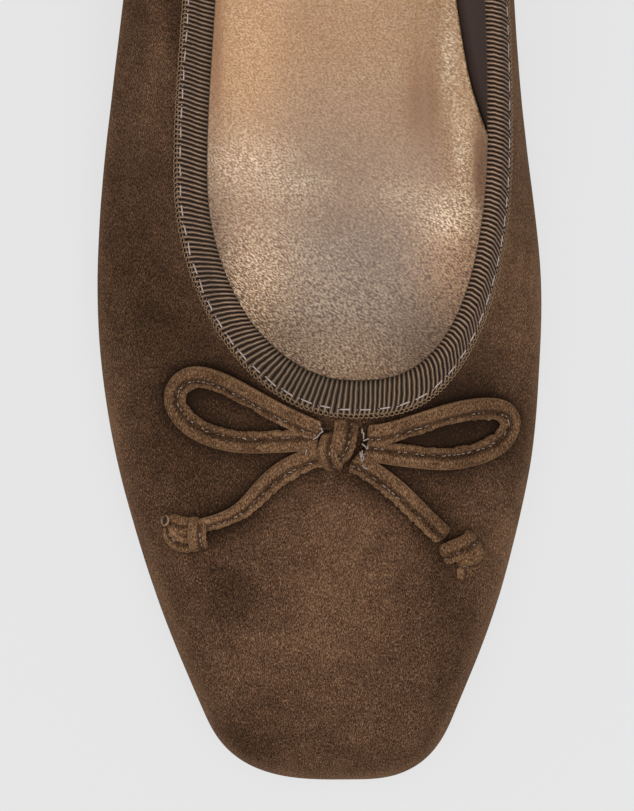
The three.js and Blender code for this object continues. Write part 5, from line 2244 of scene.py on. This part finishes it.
    def build(self) -> list[Piece]:
        """Makes every strand and knot of the bow.

        Returns:
            The pieces.
        """
        items, lines = [], []
        for side in Side:
            path, ups = self.path(side, BOW_LOOPS[side])
            lines.append(path[::5])
            node = f"bow_loop_{side.column}"
            inside = np.broadcast_to(path.mean(0), path.shape)
            items += self.strand(node + "_cord", Course(path, ups, inside), [node])
            path, ups = self.path(side, BOW_TAILS[side])
            lines.append(path[::5])
            node = f"bow_tail_{side.column}"
            toe = path + np.array([0.0, -30.0, 0.0])
            scale = 1 - self.thinning[side] * smooth(0.35, 0.95, np.linspace(0, 1, len(path)))
            items += self.strand(node + "_cord", Course(path, ups, toe, scale), [node])
        items += self.middle() + self.ends()
        self.shade(np.concatenate(lines))
        return items

    def shade(self, line: Array) -> None:
        """Darkens the vamp's nap close to the cord, where it is pressed and little light reaches it.

        Args:
            line: Points 1.5 mm apart along the cord, in mm.
        """
        x, along = vertex_plan(self.upper.item, self.last)
        plan = np.column_stack([x, along])
        away = np.linalg.norm(plan[:, None, :] - line[None, :, :2], axis=-1)
        add_tone(self.upper.item, -self.shadow * np.exp(-((away / self.reach) ** 2)).sum(1))

    def middle(self) -> list[Piece]:
        """The middle knot: a body, two wraps over it and the thread that tacks it down.

        Returns:
            The pieces.
        """
        (spot,), (normal,) = self.upper.on_vamp(*self.plan(Side.MEDIAL, 0.0, 0.0))
        body = self.pebble("bow_knot_body", spot + normal * self.knot_height, normal, self.knot_body)
        # Painted shade: the body lies under its wraps, so its nap is painted darker all over.
        paint(body, self.last, (), -0.5)
        dress(body, [self.palette.cord], ["bow_knot"])
        items = [body, *self.knotted("bow_knot", spot, normal, MIDDLE_TURNS)]
        rng = np.random.default_rng(6)
        flat, run = [], []
        for a, b in np.array(TACKS).reshape(-1, 2, 2):
            count = max(1, round(float(np.linalg.norm(b - a)) / self.tack_pitch))
            flat.append(a + (b - a) * (np.arange(count)[:, None] + 0.5) / count)
            run.append(np.tile(unit(b - a), (count, 1)))
        flat, run = np.concatenate(flat), np.concatenate(run)
        flat = flat + rng.normal(0, 0.06, flat.shape)
        places, normals = self.upper.on_vamp(spot[0] + flat[:, 0], spot[1] + flat[:, 1])
        heading = np.column_stack([run + rng.normal(0, 0.22, run.shape), np.zeros(len(run))])
        raised = places + normals * (self.lift + self.tack_height)
        rows = to_frame(raised, self.last), heading, normals
        thread = self.palette.bow_thread
        return [*items, self.palette.row.lay("bow_knot_tacks", rows, self.tack, thread, "bow_suede")]

    def ends(self) -> list[Piece]:
        """The knots at the ends of the tails. The lateral one shows the cord's open end.

        Returns:
            The pieces.
        """
        items = []
        for side, (out, back) in self.end_spots.items():
            (spot,), (normal,) = self.upper.on_vamp(*self.plan(side, out, back))
            node = f"tail_knot_{side.column}"
            core = self.pebble(node + "_core", spot + normal * self.end_height, normal, self.end_body)
            # Painted shade under the wraps, as for the middle knot.
            paint(core, self.last, (), -0.3)
            dress(core, [self.palette.cord], [node])
            items += [core, *self.knotted(node, spot, normal, END_TURNS[side])]
            if side is Side.LATERAL:
                items += self.mouth(node, spot, normal)
        return items

    def mouth(self, node: str, spot: Array, normal: Array) -> list[Piece]:
        """The open end of the rolled cord at a knot: a dark body, painted shadow in its hollow, in a raw rim.

        Args:
            node: The knot's name.
            spot: Its middle on the vamp, in mm.
            normal: The vamp's normal there.

        Returns:
            The pieces.
        """
        side, back, up = self.tube_end
        place = spot + normal * up + np.array([side, back, 0.0])
        side, back, up = self.tube_facing
        facing = unit(normal * up + np.array([side, back, 0.0]))
        hollow = self.pebble(node + "_hollow", place, facing, self.tube_hollow)
        # A near-black body stands for the shade inside the open end.
        dress(hollow, [self.palette.shadow], [])
        rows = to_frame(place[None], self.last), facing[None], np.array([[0.0, 1.0, 0.2]])
        rim = self.palette.loops.lay(node + "_rim", rows, self.tube_rim, self.palette.cord, "bow_suede")
        paint(rim, self.last, (), 0.9)
        return [hollow, rim]


@dataclass(frozen=True)
class Lamp:
    """A soft square lamp aimed at the shoe.

    The azimuth is in degrees from the toe's side (-Y) towards +X, the elevation in degrees above the floor,
    the distance and the size in metres and the power in watts.
    """

    name: str
    azimuth: float
    elevation: float
    distance: float
    size: float
    power: float

    def build(self, target: Vector) -> None:
        """Adds the lamp.

        Args:
            target: Where it aims, in metres.
        """
        data = bpy.data.lights.new(self.name, "AREA")
        data.size = self.size
        data.energy = self.power
        lamp = bpy.data.objects.new(self.name, data)
        a, e = math.radians(self.azimuth), math.radians(self.elevation)
        towards = Vector((math.sin(a) * math.cos(e), -math.cos(a) * math.cos(e), math.sin(e)))
        lamp.location = target + towards * self.distance
        lamp.rotation_euler = towards.to_track_quat("Z", "Y").to_euler()
        bpy.context.scene.collection.objects.link(lamp)


@dataclass
class Studio:
    """The photo's set, in metres: straight-down camera, pale ground and soft light from the toe's side."""

    view_height: float = 0.150035
    distance: float = 4.0
    plane: float = 0.022
    centre: tuple[float, float] = (-0.000555, -0.1537)
    sensor: float = 36
    paper: str = "#e6e6e6"
    glow: float = 0.965
    glow_share: float = 0.92
    floor_reach: float = 4.0
    floor_drop: float = 0.0002
    target: tuple[float, float, float] = (0, -0.14, 0.03)
    sky: float = 0.38
    lamps: tuple[Lamp, ...] = (
        Lamp("overhead", 0, 86, 1.4, 1.2, 17.5),
        Lamp("gloss", 12, 68, 1.5, 0.5, 7),
        Lamp("side_lateral", -80, 40, 1.6, 0.9, 4),
        Lamp("side_medial", 80, 40, 1.6, 0.9, 3),
    )

    def camera(self) -> None:
        """A long lens straight above, so that the 811 rows of the picture span the view height."""
        data = bpy.data.cameras.new("camera")
        data.sensor_width = self.sensor
        data.lens = self.sensor * self.distance / self.view_height
        data.clip_end = 40
        camera = bpy.data.objects.new("camera", data)
        camera.location = (*self.centre, self.plane + self.distance)
        bpy.context.scene.collection.objects.link(camera)
        bpy.context.scene.camera = camera

    def ground(self) -> None:
        """A pale floor that mostly glows, so that it stays even and casts no hard shadow."""
        material, tree, _ = start_material("pale_studio_paper")
        paper = add(tree, "ShaderNodeBsdfDiffuse", {"Color": linear(self.paper)}).outputs[0]
        light = {"Color": linear(self.paper), "Strength": self.glow}
        glow = add(tree, "ShaderNodeEmission", light).outputs[0]
        mixed = add(tree, "ShaderNodeMixShader", {0: self.glow_share, 1: paper, 2: glow}).outputs[0]
        add(tree, "ShaderNodeOutputMaterial", {"Surface": mixed})
        mesh = bpy.data.meshes.new("studio_floor")
        far = self.floor_reach
        corners = [(x, y, -self.floor_drop) for x, y in ((-far, -far), (far, -far), (far, far), (-far, far))]
        mesh.from_pydata(corners, [], [(0, 1, 2, 3)])
        floor = bpy.data.objects.new("studio_floor", mesh)
        bpy.context.scene.collection.objects.link(floor)
        mesh.materials.append(material)

    def build(self) -> None:
        """Sets camera, ground, lights and colour management."""
        scene = bpy.context.scene
        self.camera()
        self.ground()
        for lamp in self.lamps:
            lamp.build(Vector(self.target))
        world = bpy.data.worlds.new("studio")
        world.use_nodes = True
        background = world.node_tree.nodes["Background"]
        background.inputs["Color"].default_value = linear("#ffffff")
        background.inputs["Strength"].default_value = self.sky
        scene.world = world
        scene.view_settings.view_transform = "Standard"


def main() -> None:
    """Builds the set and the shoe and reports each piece."""
    logging.basicConfig(level=logging.INFO, format="%(name)s: %(message)s")
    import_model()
    Studio().build()
    last = Last()
    palette = Palette(last)
    surface = LastedSurface(last, 300)
    upper = Upper(last, palette, surface)
    pieces = upper.build()
    pieces += Binding(last, palette, LastedSurface(last, 240)).build()
    pieces += Insole(last, palette, surface).build()
    pieces += Outsole(last, palette, surface).build()
    pieces += Heel(last, palette).build()
    pieces += Bow(last, palette, upper).build()
    for piece in pieces:
        LOG.info("%s: %d faces", piece.name, len(piece.data.polygons))
    bpy.context.view_layer.update()


if __name__ == "__main__":
    main()
